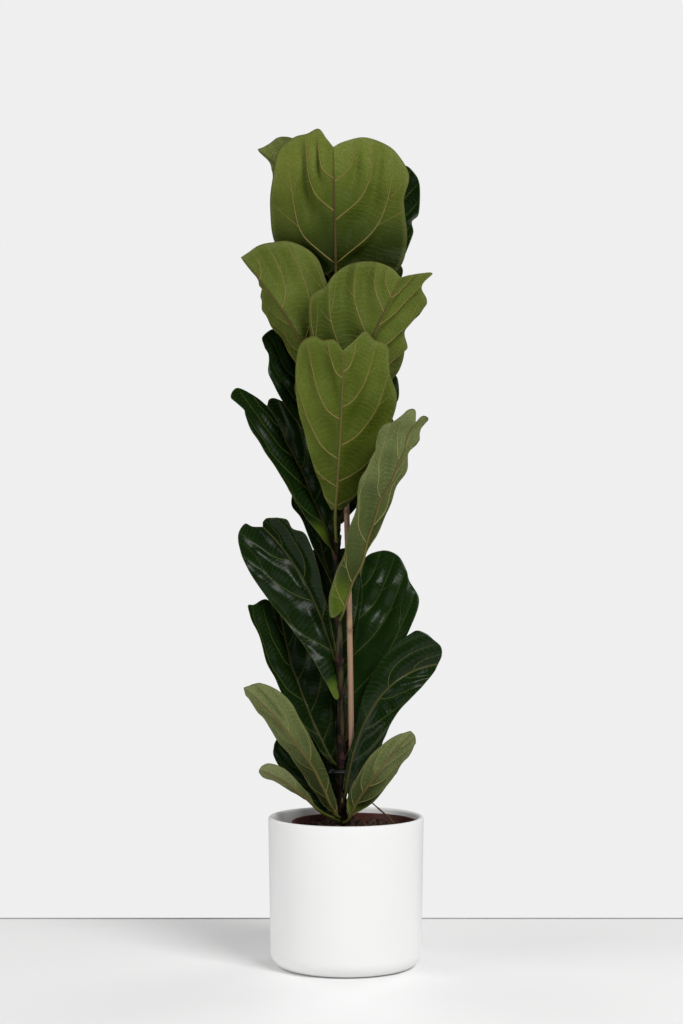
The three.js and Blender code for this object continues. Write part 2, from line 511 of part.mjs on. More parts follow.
function soil() {
  const bottom = CACHEPOT.floor + 2 * SEAT_GAP + NURSERY.wall;
  const points = [];
  const triangles = [];
  const { rings, sides } = SOIL;
  const ringStart = (i) => 1 + i * sides;
  points.push(new THREE.Vector3(0, 0, soilHeight(0, 0)));
  const place = (radius, k, z) => {
    const turn = (2 * Math.PI * k) / sides;
    const [x, y] = [radius * Math.cos(turn), radius * Math.sin(turn)];
    points.push(new THREE.Vector3(x, y, z === null ? soilHeight(x, y) : z));
  };
  for (let i = 0; i < rings; i += 1) {
    const radius = ((nurseryInner(SOIL.top - 2) - 1) * (i + 1)) / rings;
    for (let k = 0; k < sides; k += 1) place(radius, k, null);
  }
  for (let k = 0; k < sides; k += 1) place(nurseryInner(bottom + 4) - 1, k, bottom + 4);
  for (let k = 0; k < sides; k += 1) place(nurseryInner(bottom) - 5, k, bottom);
  const last = points.push(new THREE.Vector3(0, 0, bottom)) - 1;
  for (let k = 0; k < sides; k += 1) {
    const next = (k + 1) % sides;
    triangles.push([0, ringStart(0) + k, ringStart(0) + next]);
    for (let i = 0; i < rings + 1; i += 1) {
      const [a, b] = [ringStart(i) + k, ringStart(i) + next];
      triangles.push([a, a + sides, b + sides], [a, b + sides, b]);
    }
    triangles.push([last, ringStart(rings + 1) + next, ringStart(rings + 1) + k]);
  }
  const bed = closedGeometry(points, triangles);
  bed.translate(NURSERY.x, NURSERY.y, 0);
  const holes = [stemSolid(SEAT_GAP), stakeSolid(SEAT_GAP), dryStalkSolid(SEAT_GAP)];
  return toGeometry(mainBody(holes.reduce((solid, hole) => solid.subtract(hole), toSolid(bed))));
}

// An old dry leaf stalk that stands in the soil beside the stem.
function dryStalkSolid(clearance) {
  const path = [[40, -8, 259], [54, -10, 247], [70, -12, 233], [84, -13, 216], [90, -13, 204]].map(vector);
  return toSolid(bar(path, [1.0, 1.4, 1.7, 2.0, 2.0].map((r) => r + clearance), 6));
}

// ---- the plant in its pots ------------------------------------------------------------------

const plant = new THREE.Group();

function place(name, geometry, skin, x = 0, y = 0) {
  const mesh = new THREE.Mesh(geometry, skin);
  mesh.name = name;
  mesh.position.set(x, y, 0);
  plant.add(mesh);
}

place('cachepot', cachepot(), material(COLOURS.glaze, 0.5));
place('nursery_pot', nurseryPot(), material(COLOURS.nursery, 0.55), NURSERY.x, NURSERY.y);
place('soil', soil(), material(COLOURS.soil, 0.95));
place('stem', toGeometry(stem()), material(COLOURS.stem, 0.75));
place('bamboo_stake', toGeometry(stakeSolid(0)), material(COLOURS.cane, 0.6));
place('clip', clip(), material(COLOURS.clip, 0.4));
place('dry_stalk', toGeometry(dryStalkSolid(0)), material(COLOURS.stalk, 0.8));

const upperSkin = material(COLOURS.upper, 0.4);
const youngSkin = material(COLOURS.young, 0.5);
LEAVES.forEach((row, i) => {
  row.phase = WAVE.phaseStep * i;
  const name = `leaf_${String(i + 1).padStart(2, '0')}`;
  const facesAway = Math.sin(radians(row.face[0])) > 0;
  place(name, toGeometry(leafSolid(row)), facesAway ? youngSkin : upperSkin);
});

export default plant;
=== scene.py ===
# %% [markdown]
# # A potted fiddle leaf fig
#
# One upright fig is tied to a bamboo cane. It stands in a thin brown nursery pot, inside a white cachepot.
# The solids of the CAD model are loaded first, as a fixed frame. Every surface that shows is then made again
# at a finer scale round them, from the same sizes. The plant's sizes are millimetres until a mesh is made.
# The camera and the lamps stand in metres.

# %% Load the frame
import bpy
import numpy as np
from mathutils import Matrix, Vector


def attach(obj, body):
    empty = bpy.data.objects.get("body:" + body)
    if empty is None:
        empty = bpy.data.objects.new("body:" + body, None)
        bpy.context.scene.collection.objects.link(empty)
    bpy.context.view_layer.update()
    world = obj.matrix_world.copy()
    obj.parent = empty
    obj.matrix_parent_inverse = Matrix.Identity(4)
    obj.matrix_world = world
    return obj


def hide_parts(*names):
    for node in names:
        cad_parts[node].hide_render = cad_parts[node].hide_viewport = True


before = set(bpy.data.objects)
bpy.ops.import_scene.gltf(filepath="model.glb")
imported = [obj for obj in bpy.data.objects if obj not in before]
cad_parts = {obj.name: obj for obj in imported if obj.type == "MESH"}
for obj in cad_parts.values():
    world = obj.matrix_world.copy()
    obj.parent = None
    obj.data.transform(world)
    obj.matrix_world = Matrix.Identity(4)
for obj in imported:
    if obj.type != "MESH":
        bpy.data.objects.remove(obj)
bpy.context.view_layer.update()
MM = 0.001

# %% [markdown]
# ## Meshes from arrays
# A piece is a list of parts. Each part has points, faces that index them, the finish it wears and numbers
# that its finish reads, one for each face corner. Corner numbers may jump where the two halves of a leaf meet
# on the midrib, although the halves share their points there. A piece could also be built face by face with
# bmesh. Arrays are used because a shape is then one formula, and thousands of points are set at once.

# %% Put arrays into a mesh
def part(points, faces, look=0, numbers=None):
    """Points (n, 3) in mm, a list of face arrays (k, corners), a finish's place and corner numbers."""
    return {"points": points.reshape(-1, 3), "faces": faces, "look": look, "numbers": numbers or {}}


def make_piece(name, parts, looks, node=None, smooth=True):
    """Joins the parts into one mesh object in metres that rides on the root and replaces a CAD node."""
    rows, looks_of, start = [], [], 0
    for p in parts:
        for faces in p["faces"]:
            rows += (faces + start).tolist()
            looks_of += [p["look"]] * len(faces)
        start += len(p["points"])
    used, flat = np.unique(np.concatenate([np.asarray(row) for row in rows]), return_inverse=True)
    ends = np.cumsum([len(row) for row in rows])[:-1]
    rows = [row.tolist() for row in np.split(flat, ends)]
    mesh = bpy.data.meshes.new(name)
    mesh.from_pydata(np.concatenate([p["points"] for p in parts])[used] * MM, [], rows)
    mesh.polygons.foreach_set("material_index", looks_of)
    mesh.polygons.foreach_set("use_smooth", [smooth] * len(rows))
    for key in sorted({key for p in parts for key in p["numbers"]}):
        values = []
        for p in parts:
            corners = sum(faces.size for faces in p["faces"])
            value = p["numbers"].get(key, 0.0)
            values.append(np.broadcast_to(np.asarray(value, dtype=float), (corners,)))
        mesh.attributes.new(key, "FLOAT", "CORNER").data.foreach_set("value", np.concatenate(values))
    for look in looks:
        mesh.materials.append(look)
    mesh.update()
    piece = bpy.data.objects.new(name, mesh)
    bpy.context.scene.collection.objects.link(piece)
    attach(piece, "root")
    if node:
        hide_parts(node)
    return piece


def quads(ids):
    """Quads between neighbouring rows and columns of an array of point numbers."""
    return np.stack([ids[:-1, :-1], ids[1:, :-1], ids[1:, 1:], ids[:-1, 1:]], axis=-1).reshape(-1, 4)


def tube_faces(rings, sides, tubes=1):
    """Walls and end lids of tubes, whose rings of points follow one another."""
    ids = np.arange(rings * sides).reshape(rings, sides)
    walls = quads(np.pad(ids, ((0, 0), (0, 1)), mode="wrap"))[:, ::-1]
    lids = np.stack([ids[0, ::-1], ids[-1]])
    shift = (np.arange(tubes) * ids.size)[:, None, None]
    return [(walls[None] + shift).reshape(-1, 4), (lids[None] + shift).reshape(-1, sides)]


def at_corners(values, faces):
    """Values of points, listed for the corners of the faces."""
    return np.concatenate([values[block].ravel() for block in faces])


def unit(v):
    return v / np.maximum(np.linalg.norm(v, axis=-1, keepdims=True), 1e-12)


def smoothstep(x, low, high):
    t = np.clip((x - low) / (high - low), 0, 1)
    return t * t * (3 - 2 * t)


def full_turn(sides):
    return np.linspace(0, 2 * np.pi, sides, endpoint=False)


# %% [markdown]
# ## Round bars
# Stems, stalks, veins, the cane and roots are all bars: a ring of points goes along a path. Many bars with
# the same number of points are made in one call, because a leaf alone has some twenty veins. A bevelled
# curve object would look the same, but a mesh can carry the corner numbers too.

# %% Bars along paths
AXIS_BIAS = [0, 0.02, 0.3]


def bars(paths, radii, sides):
    """Rings of radius `radii` round `paths` (bars, points, 3).

    Across = path direction x a reference axis; up = direction x across. A ring point is centre +
    radius (cos turn across + sin turn up). The reference is the axis least along the bar, and x wins a tie.
    """
    along = unit(np.gradient(paths, axis=1))
    overall = np.abs(unit(paths[:, -1] - paths[:, 0]))
    reference = np.eye(3)[np.argmin(overall + AXIS_BIAS, axis=1)][:, None]
    across = unit(np.cross(along, reference))
    up = np.cross(along, across)
    turn = full_turn(sides)[:, None]
    ring = np.cos(turn) * across[:, :, None] + np.sin(turn) * up[:, :, None]
    points = paths[:, :, None] + radii[..., None, None] * ring
    return points, tube_faces(paths.shape[1], sides, paths.shape[0])


def line_at(line, z):
    """Point at height z on a line of points that climbs in z."""
    line = np.array(line, dtype=float)
    return np.stack([np.interp(z, line[:, 2], line[:, k]) for k in (0, 1)] + [np.asarray(z, float)], axis=-1)


# %% [markdown]
# ## A bench for finishes
# A finish is a node tree. Its maths is easier to read as a formula than as twenty boxes, so one output
# socket is wrapped in a small class that adds a Math node for each sign. Colours go through Mix nodes.

# %% Write node trees as formulas
class Wire:
    """An output socket; +, - and * on it add Math nodes."""

    def __init__(self, finish, socket):
        self.finish, self.socket = finish, socket

    def math(self, operation, *values):
        return self.finish.add("Math", {"operation": operation}, dict(enumerate(values)))

    def __add__(self, other):
        return self.math("ADD", self, other)

    def __radd__(self, other):
        return self.math("ADD", other, self)

    def __sub__(self, other):
        return self.math("SUBTRACT", self, other)

    def __rsub__(self, other):
        return self.math("SUBTRACT", other, self)

    def __mul__(self, other):
        return self.math("MULTIPLY", self, other)

    def __rmul__(self, other):
        return self.math("MULTIPLY", other, self)

    def most(self, other):
        return self.math("MAXIMUM", self, other)

    def size(self):
        return self.math("ABSOLUTE", self)

    def part(self):
        return self.math("FRACT", self)

    def whole(self):
        return self.math("FLOOR", self)


class Finish:
    """One material: add() makes any node, the others are short words for the common ones."""

    def __init__(self, name):
        self.material = bpy.data.materials.new(name)
        self.material.use_nodes = True
        self.tree = self.material.node_tree
        self.tree.nodes.clear()
        self.place = self.add("TexCoord", out="Object")

    def add(self, kind, settings=None, inputs=None, out=0):
        """Node of a type; its settings first, then the value or wire of each socket."""
        node = self.tree.nodes.new("ShaderNode" + kind)
        for key, value in (settings or {}).items():
            if key == "stops":
                node.color_ramp.elements.remove(node.color_ramp.elements[0])
                for i, (place, colour) in enumerate(value):
                    ramp = node.color_ramp.elements
                    stop = ramp[0] if i == 0 else ramp.new(place)
                    stop.position, stop.color = place, (*colour, 1)
            else:
                setattr(node, key, value)
        for key, value in (inputs or {}).items():
            if isinstance(value, Wire):
                self.tree.links.new(value.socket, node.inputs[key])
            else:
                node.inputs[key].default_value = value
        return Wire(self, node.outputs[out])

    def number(self, name):
        """A number that the mesh carries on its face corners."""
        return self.add("Attribute", {"attribute_name": name}, out="Fac")

    def noise(self, scale, detail=2.0, stretch=None, roughness=0.5):
        """Noise of a scale in 1/m, stretched along the axes if asked."""
        place = self.place
        if stretch:
            place = self.add("Mapping", {}, {"Vector": place, "Scale": stretch})
        return self.add("TexNoise", {}, {"Vector": place, "Scale": scale, "Detail": detail,
                                         "Roughness": roughness})

    def height(self):
        """Height above the floor in metres."""
        return self.add("SeparateXYZ", {}, {0: self.place}, out="Z")

    def step(self, value, low, high, bottom=0.0, top=1.0):
        """Smooth step of a value from low to high."""
        return self.add("MapRange", {"interpolation_type": "SMOOTHSTEP"},
                        {"Value": value, "From Min": low, "From Max": high, "To Min": bottom, "To Max": top})

    def mix(self, factor, first, second):
        """Colour mix; a colour is three numbers or a wire. Sockets 6 and 7 are the node's two colours."""
        rgba = [c if isinstance(c, Wire) else (*c, 1) for c in (first, second)]
        return self.add("Mix", {"data_type": "RGBA"}, {0: factor, 6: rgba[0], 7: rgba[1]}, out=2)

    def layers(self, skin, *layers):
        """Colours laid over the skin one after the other, each with its factor."""
        for factor, colour in layers:
            skin = self.mix(factor, skin, colour)
        return skin

    def ramp(self, value, stops):
        return self.add("ValToRGB", {"stops": stops}, {0: value})

    def bump(self, height, strength, distance):
        """Relief from a height; distance is what height 1 stands for, in metres."""
        return self.add("Bump", {}, {"Height": height, "Strength": strength, "Distance": distance})

    def done(self, base, specular, **inputs):
        """Ends the tree in a Principled shader."""
        named = {key.capitalize(): value for key, value in inputs.items()}
        named.update({"Base Color": base, "Specular IOR Level": specular})
        shader = self.add("BsdfPrincipled", {}, named)
        end = self.tree.nodes.new("ShaderNodeOutputMaterial")
        self.tree.links.new(shader.socket, end.inputs["Surface"])
        return self.material


def grained(name, first, second, scale, detail=2.0, stretch=None, relief=None, **inputs):
    """Material whose colour goes from first to second along a noise; relief is (strength, distance)."""
    f = Finish(name)
    grain = f.noise(scale, detail, stretch)
    if relief:
        inputs["normal"] = f.bump(grain, *relief)
    return f.done(f.mix(grain, first, second), **inputs)


# %% [markdown]
# ## Floor, light and camera
# The photograph was taken in a white room: a large soft light high in front on the right, and pale walls
# that fill the shadows. Here the world is the wall. The camera sees it nearly white, while it lights the
# plant less, so that the lamps can model the leaves. The floor ends in a thin grey strip where the wall would
# stand, a painted shade line of the corner. The camera is level, 3.56 m in front and 0.72 m up.

# %% Set up the studio
PICTURE_HEIGHT = 1024
FOCAL_PIXELS = 2250
CAMERA_PLACE = (-0.0071, -3.564, 0.7176)
WALL_SEEN, WALL_FILL = 0.865, 0.34

world = bpy.data.worlds.new("white_room")
bpy.context.scene.world = world
world.use_nodes = True
room = world.node_tree
to_camera = room.nodes.new("ShaderNodeLightPath")
strength = room.nodes.new("ShaderNodeMapRange")
strength.inputs["To Min"].default_value = WALL_FILL
strength.inputs["To Max"].default_value = WALL_SEEN
room.links.new(to_camera.outputs["Is Camera Ray"], strength.inputs["Value"])
room.links.new(strength.outputs["Result"], room.nodes["Background"].inputs["Strength"])
room.nodes["Background"].inputs["Color"].default_value = (1.0, 1.0, 1.0, 1)
world.cycles_visibility.glossy = False
bpy.context.scene.view_settings.view_transform = "Standard"

camera = bpy.data.objects.new("camera", bpy.data.cameras.new("camera"))
camera.data.sensor_width = 36
camera.data.lens = camera.data.sensor_width * FOCAL_PIXELS / PICTURE_HEIGHT
camera.location = CAMERA_PLACE
camera.rotation_euler = (np.pi / 2, 0, 0)
bpy.context.scene.collection.objects.link(camera)
bpy.context.scene.camera = camera


def soft_lamp(name, place, size, watts, mirrored=True, aim=(0.0, 0.0, 0.65)):
    """A square lamp turned so that it shines on a point; mirrored shows it in glossy surfaces."""
    lamp = bpy.data.lights.new(name, "AREA")
    lamp.size, lamp.energy = size, watts
    holder = bpy.data.objects.new(name, lamp)
    holder.location = place
    holder.visible_glossy = mirrored
    holder.rotation_euler = (Vector(aim) - Vector(place)).to_track_quat("-Z", "Y").to_euler()
    bpy.context.scene.collection.objects.link(holder)


soft_lamp("window", (1.7, -2.6, 2.9), 1.6, 105)
soft_lamp("left_wall", (-2.6, -1.4, 1.2), 1.8, 25)
soft_lamp("back_right", (2.4, 2.4, 2.0), 1.8, 30, mirrored=False)
soft_lamp("back_left", (-2.4, 2.4, 2.0), 1.8, 24, mirrored=False)

HALF, FAR, SHADE_LINE_HEIGHT = 6000, 403, 2.2
floor_mesh = bpy.data.meshes.new("floor")
corners = np.array([[-HALF, -HALF, 0], [HALF, -HALF, 0], [HALF, FAR, 0], [-HALF, FAR, 0],
                    [HALF, FAR, SHADE_LINE_HEIGHT], [-HALF, FAR, SHADE_LINE_HEIGHT]])
floor_mesh.from_pydata(corners * MM, [], [[0, 1, 2, 3], [3, 2, 4, 5]])
floor_mesh.materials.append(grained("pale_floor", (0.93, 0.93, 0.93), (0.96, 0.96, 0.955), 1.7, 3.0,
                                    roughness=0.6, specular=0.3))
# A thin grey strip at the floor's far edge: a painted shade line where wall and floor would meet.
floor_mesh.materials.append(grained("painted_corner_shade", (0.30, 0.30, 0.30), (0.36, 0.36, 0.355), 4.0,
                                    roughness=0.7, specular=0.5))
floor_mesh.polygons[1].material_index = 1
floor = bpy.data.objects.new("floor", floor_mesh)
bpy.context.scene.collection.objects.link(floor)
print("camera lens in mm:", round(camera.data.lens, 2))

# %% [markdown]
# ## The cachepot
# A cast, glazed pot: straight walls that widen a little, a well rounded foot and a rounded rim. It is turned
# from one profile. Its glaze is matt white and has a faint unevenness, as a dipped glaze has. The Screw
# modifier could turn the profile as well. A grid of profile points and turns gives the same wall in one step.

# %% Turn the cachepot
CACHEPOT = {"height": 236, "rim": 123, "wall": 8, "foot": 95, "body": 119.5, "corner": 24, "floor": 12,
            "inner_corner": 14, "recess": 0.6, "recess_edge": 12, "foot_edge": 7, "middle": 6, "sides": 160}


def arc(r, z, radius, start, end, steps):
    """Points on an arc of a profile: centre + radius (cos, sin), angles in degrees."""
    angle = np.radians(np.linspace(start, end, steps + 1))
    return np.stack([r + radius * np.cos(angle), z + radius * np.sin(angle)], axis=-1)


def turned(profile, sides):
    """The profile's (radius, height) points go round an upright axis: x = r cos, y = r sin."""
    r, z = profile[:, 0][:, None], profile[:, 1][:, None]
    turn = full_turn(sides)
    points = np.stack([r * np.cos(turn), r * np.sin(turn), z + 0 * turn], axis=-1)
    return points, tube_faces(len(profile), sides)


def cachepot_profile():
    """From the middle of the foot out, up the wall, over the rim and down to the middle of the floor."""
    p = CACHEPOT
    lip = p["wall"] / 2
    shoulder = p["height"] - lip
    bottom = p["floor"] + p["inner_corner"]
    inner = p["body"] - p["wall"]
    wall_z = np.linspace(p["corner"], shoulder, 14)[1:-1]
    outer = np.interp(wall_z, [p["corner"], shoulder], [p["body"], p["rim"]])
    inner_z = np.linspace(shoulder, bottom, 12)[1:-1]
    inside = np.interp(inner_z, [bottom, shoulder], [inner, p["rim"] - 2 * lip])
    return np.concatenate([
        [[p["middle"], p["recess"]], [p["foot"] - p["recess_edge"], p["recess"]],
         [p["foot"] - p["foot_edge"], 0]],
        arc(p["body"] - p["corner"], p["corner"], p["corner"], -86, 0, 14),
        np.stack([outer, wall_z], axis=-1),
        arc(p["rim"] - lip, shoulder, lip, 0, 180, 14),
        np.stack([inside, inner_z], axis=-1),
        arc(inner - p["inner_corner"], bottom, p["inner_corner"], 0, -90, 8),
        [[p["middle"], p["floor"]]],
    ])


glaze = Finish("matt_white_glaze")
cloud = glaze.noise(9.0, 3.0)
pores = glaze.noise(900.0, 2.0)
pinholes = glaze.step(glaze.noise(420.0, 1.0), 0.73, 0.80)
glaze_colour = glaze.mix(cloud, (0.815, 0.815, 0.81), (0.855, 0.855, 0.85))
glaze_relief = glaze.bump(cloud * 0.6 + pores * 0.03 - pinholes * 0.05, 0.35, 0.001)
glaze_material = glaze.done(base=glaze.mix(pinholes * 0.25, glaze_colour, (0.66, 0.65, 0.63)),
                            roughness=0.42 + cloud * 0.08, normal=glaze_relief, specular=0.4)
pot_points, pot_faces = turned(cachepot_profile(), CACHEPOT["sides"])
make_piece("cachepot_shell", [part(pot_points, pot_faces)], [glaze_material], "cachepot")
print("cachepot points:", pot_points.shape)

# %% [markdown]
# ## The nursery pot
# A thin brown pot from the grower. Only its rim shows. Its CAD solid has the right shape, so it stays and
# gets a finish: dark red-brown plastic, dull and dusty from soil.

# %% Finish the nursery pot
NURSERY = {"x": 13, "y": 3, "base": 74, "top_radius": 96, "top": 228, "wall": 1.6, "bottom": 12.3}

plastic = Finish("nursery_plastic")
scuffs = plastic.noise(60.0, 4.0, stretch=(1, 1, 3))
dirt = plastic.step(plastic.noise(24.0, 5.0, roughness=0.65), 0.45, 0.72)
plastic_colour = plastic.mix(scuffs, (0.050, 0.012, 0.009), (0.105, 0.030, 0.022))
plastic_material = plastic.done(base=plastic.mix(dirt * 0.55, plastic_colour, (0.045, 0.028, 0.018)),
                                roughness=0.45 + dirt * 0.3,
                                normal=plastic.bump(scuffs, 0.3, 0.0006), specular=0.4)
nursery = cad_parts["nursery_pot"]
nursery.data.materials.clear()
nursery.data.materials.append(plastic_material)


def nursery_inner(z):
    """Radius of the nursery pot's inner wall at a height: it widens evenly from base to top."""
    t = (z - NURSERY["bottom"]) / (NURSERY["top"] - NURSERY["bottom"])
    return NURSERY["base"] + (NURSERY["top_radius"] - NURSERY["base"]) * t - NURSERY["wall"]


# %% [markdown]
# ## Soil
# Potting soil is peat and bark in crumbs of every size. The bed is a height field of slow mounds and quick
# bumps. A Displace modifier could raise them from a plane. They are a formula here, so that whatever lies on
# the bed can ask for its height at any place.

# %% Heap the soil
SOIL = {"top": 215, "mound": 5, "lump": 1.32, "crumb": 1.5, "play": 1, "rings": 60, "sides": 150}
SOIL_SIDE = np.array([16, 60, 120, 190, 205])[:, None]


def ripples(x, y, shortest, longest, count, seed):
    """Sum of sine waves with seeded directions, lengths and phases; every wave is as high as it is long."""
    draw = np.random.default_rng(seed)
    heading = draw.uniform(0, 2 * np.pi, count)
    length = np.exp(draw.uniform(np.log(shortest), np.log(longest), count))
    phase = draw.uniform(0, 2 * np.pi, count)
    total = np.zeros(np.broadcast(x, y).shape)
    for h, w, p in zip(heading, length, phase):
        total += w * np.sin(2 * np.pi * (x * np.cos(h) + y * np.sin(h)) / w + p)
    return total / (longest * np.sqrt(count))


def soil_height(x, y):
    """Mound falling with the square of the radius, plus lumps, plus crumbs of 4 to 22 mm."""
    r = np.hypot(x, y) / NURSERY["top_radius"]
    lumps = np.sin(x / 9.1 + 1.3) * np.cos(y / 7.7) + 0.6 * np.sin((x + 2 * y) / 13.7 + 0.5)
    smooth = SOIL["top"] + SOIL["mound"] * (1 - r * r) + SOIL["lump"] * lumps
    return smooth + SOIL["crumb"] * ripples(x, y, 4, 22, 26, 3)


def soil_bed():
    """Rings up the side, then rings that close in over the top, each at the height of the bed there."""
    edge = nursery_inner(SOIL["top"] - 2) - SOIL["play"]
    radius = np.linspace(0.02, 1, SOIL["rings"])[::-1][:, None] * edge
    turn = full_turn(SOIL["sides"])
    x, y = radius * np.cos(turn), radius * np.sin(turn)
    top = np.stack([x, y, soil_height(x, y)], axis=-1)
    side_r = nursery_inner(SOIL_SIDE) - SOIL["play"]
    side = np.stack([side_r * np.cos(turn), side_r * np.sin(turn), SOIL_SIDE + 0 * turn], axis=-1)
    points = np.concatenate([side, top]) + [NURSERY["x"], NURSERY["y"], 0]
    return points, tube_faces(len(points), SOIL["sides"])


earth = Finish("potting_soil")
clods = earth.noise(140.0, 6.0, roughness=0.7)
fibres = earth.step(earth.noise(260.0, 3.0, stretch=(1, 0.25, 1)), 0.60, 0.75)
damp = earth.noise(16.0, 2.0)
earth_colour = earth.ramp(clods, [(0.30, (0.006, 0.003, 0.002)), (0.55, (0.024, 0.012, 0.008)),
                                  (0.75, (0.065, 0.034, 0.022))])
earth_material = earth.done(base=earth.mix(fibres * 0.5, earth_colour, (0.16, 0.095, 0.06)),
                            roughness=0.95 - damp * 0.3, specular=0.25,
                            normal=earth.bump(clods, 0.9, 0.003))
bed_points, bed_faces = soil_bed()
make_piece("soil_bed", [part(bed_points, bed_faces)], [earth_material], "soil")
print("soil from", bed_points[..., 2].min().round(1), "to", bed_points[..., 2].max().round(1), "mm")

# %% [markdown]
# Several hundred loose crumbs and flat bark chips lie on the bed. Particles could scatter copies of one
# shape. Here a solid with twelve corners is scaled, dented and turned anew for every crumb in one array, so
# that no two are alike and all of them are one mesh.

# %% Scatter crumbs and bark chips
CRUMB_COUNT, CHIP_COUNT, CRUMB_REACH = 900, 150, 88
golden = (1 + 5 ** 0.5) / 2
rectangle = unit(np.array([[s, t * golden, 0] for s in (-1, 1) for t in (-1, 1)]))
crumb_corners = np.concatenate([rectangle, rectangle[:, [2, 0, 1]], rectangle[:, [1, 2, 0]]])


def hull_faces(corners):
    """Triangles of a regular solid: every three corners that are all one shortest edge apart."""
    gap = np.linalg.norm(corners[:, None] - corners[None], axis=-1)
    near = np.abs(gap - gap[gap > 1e-6].min()) < 1e-3
    i, j, k = np.nonzero(near[:, :, None] & near[None] & near[:, None])
    keep = (i < j) & (j < k)
    faces = np.stack([i, j, k], axis=-1)[keep]
    a, b, c = (corners[faces[:, n]] for n in range(3))
    inward = np.einsum("ij,ij->i", np.cross(b - a, c - a), a) < 0
    faces[inward] = faces[inward][:, ::-1]
    return faces


def turned_at_random(draw, count):
    """Rotation matrices from random unit quaternions."""
    w, x, y, z = unit(draw.normal(size=(count, 4))).T
    rows = np.stack([1 - 2 * (y * y + z * z), 2 * (x * y - w * z), 2 * (x * z + w * y),
                     2 * (x * y + w * z), 1 - 2 * (x * x + z * z), 2 * (y * z - w * x),
                     2 * (x * z - w * y), 2 * (y * z + w * x), 1 - 2 * (x * x + y * y)], axis=-1)
    return rows.reshape(-1, 3, 3)


def on_soil(draw, count, reach):
    """Random places on the bed, even over its area, as x, y, z in mm."""
    r = reach * np.sqrt(draw.uniform(0, 1, count))
    turn = draw.uniform(0, 2 * np.pi, count)
    x, y = r * np.cos(turn), r * np.sin(turn)
    return np.stack([x + NURSERY["x"], y + NURSERY["y"], soil_height(x, y)], axis=-1)


def crumbs(count, shape, smallest, largest, sink, seed):
    """Copies of the twelve-cornered solid, each scaled, dented, turned and set a little into the bed."""
    draw = np.random.default_rng(seed)
    size = smallest + (largest - smallest) * draw.uniform(0, 1, (count, 1, 1)) ** 3
    dent = draw.uniform(0.72, 1.15, (count, len(crumb_corners), 1))
    local = crumb_corners[None] * dent * size * np.array(shape)
    local = np.einsum("nij,nkj->nki", turned_at_random(draw, count), local)
    points = local + on_soil(draw, count, CRUMB_REACH)[:, None] + np.array([0, 0, 1]) * size * (0.5 - sink)
    faces = hull_faces(crumb_corners)[None] + (np.arange(count) * len(crumb_corners))[:, None, None]
    return part(points, [faces.reshape(-1, 3)])


crumb_finish = Finish("soil_crumbs")
crumb_tone = crumb_finish.noise(95.0, 1.0)
crumb_grain = crumb_finish.noise(600.0, 3.0)
crumb_material = crumb_finish.done(
    base=crumb_finish.ramp(crumb_tone, [(0.35, (0.009, 0.0045, 0.003)), (0.52, (0.030, 0.015, 0.010)),
                                        (0.68, (0.080, 0.045, 0.030))]),
    roughness=0.8 + crumb_grain * 0.15, specular=0.25, normal=crumb_finish.bump(crumb_grain, 0.6, 0.0006))
make_piece("soil_crumbs", [crumbs(CRUMB_COUNT, (1, 1, 1), 0.8, 4.6, 0.35, 11)], [crumb_material],
           smooth=False)
chip_material = grained("bark_chips", (0.026, 0.012, 0.007), (0.125, 0.072, 0.044), 300.0, 4.0, (1, 0.2, 1),
                        (0.7, 0.0008), roughness=0.85, specular=0.25)
make_piece("bark_chips", [crumbs(CHIP_COUNT, (2.6, 0.9, 0.32), 1.2, 4.2, 0.25, 12)], [chip_material],
           smooth=False)
print("crumbs:", CRUMB_COUNT, "faces each:", len(hull_faces(crumb_corners)))

# %% [markdown]
# Thin roots creep over the crumbs. A few could be drawn by hand. For seventy, a seeded walk is quicker and no
# two come out alike.

# %% Lay the root hairs
ROOT_COUNT, ROOT_REACH, ROOT_STEPS = 70, 74, 12


def roots(count, seed):
    """Each root wanders: its heading turns by summed random steps, and it follows the bed's height."""
    draw = np.random.default_rng(seed)
    steps = ROOT_STEPS
    start = on_soil(draw, count, ROOT_REACH)
    turn = draw.uniform(0, 2 * np.pi, (count, 1)) + np.cumsum(draw.normal(0, 0.35, (count, steps)), axis=1)
    stride = draw.uniform(1.5, 5.0, (count, 1))
    x = start[:, :1] + np.cumsum(stride * np.cos(turn), axis=1)
    y = start[:, 1:2] + np.cumsum(stride * np.sin(turn), axis=1)
    dx, dy = x - NURSERY["x"], y - NURSERY["y"]
    pull = np.minimum(1, CRUMB_REACH / np.maximum(np.hypot(dx, dy), 1e-6))
    x, y = NURSERY["x"] + dx * pull, NURSERY["y"] + dy * pull
    lift = 1.2 * np.sin(np.linspace(0, np.pi, steps)) + draw.uniform(-0.4, 0.8, (count, 1))
    z = soil_height(x - NURSERY["x"], y - NURSERY["y"]) + lift
    radii = draw.uniform(0.25, 0.75, (count, 1)) * np.linspace(1, 0.45, steps)
    points, faces = bars(np.stack([x, y, z], axis=-1), radii, 5)
    return part(points, faces)


root_material = grained("root_hairs", (0.050, 0.024, 0.014), (0.17, 0.105, 0.062), 220.0,
                        roughness=0.75, specular=0.3)
make_piece("root_hairs", [roots(ROOT_COUNT, 13)], [root_material])
print("roots:", ROOT_COUNT)
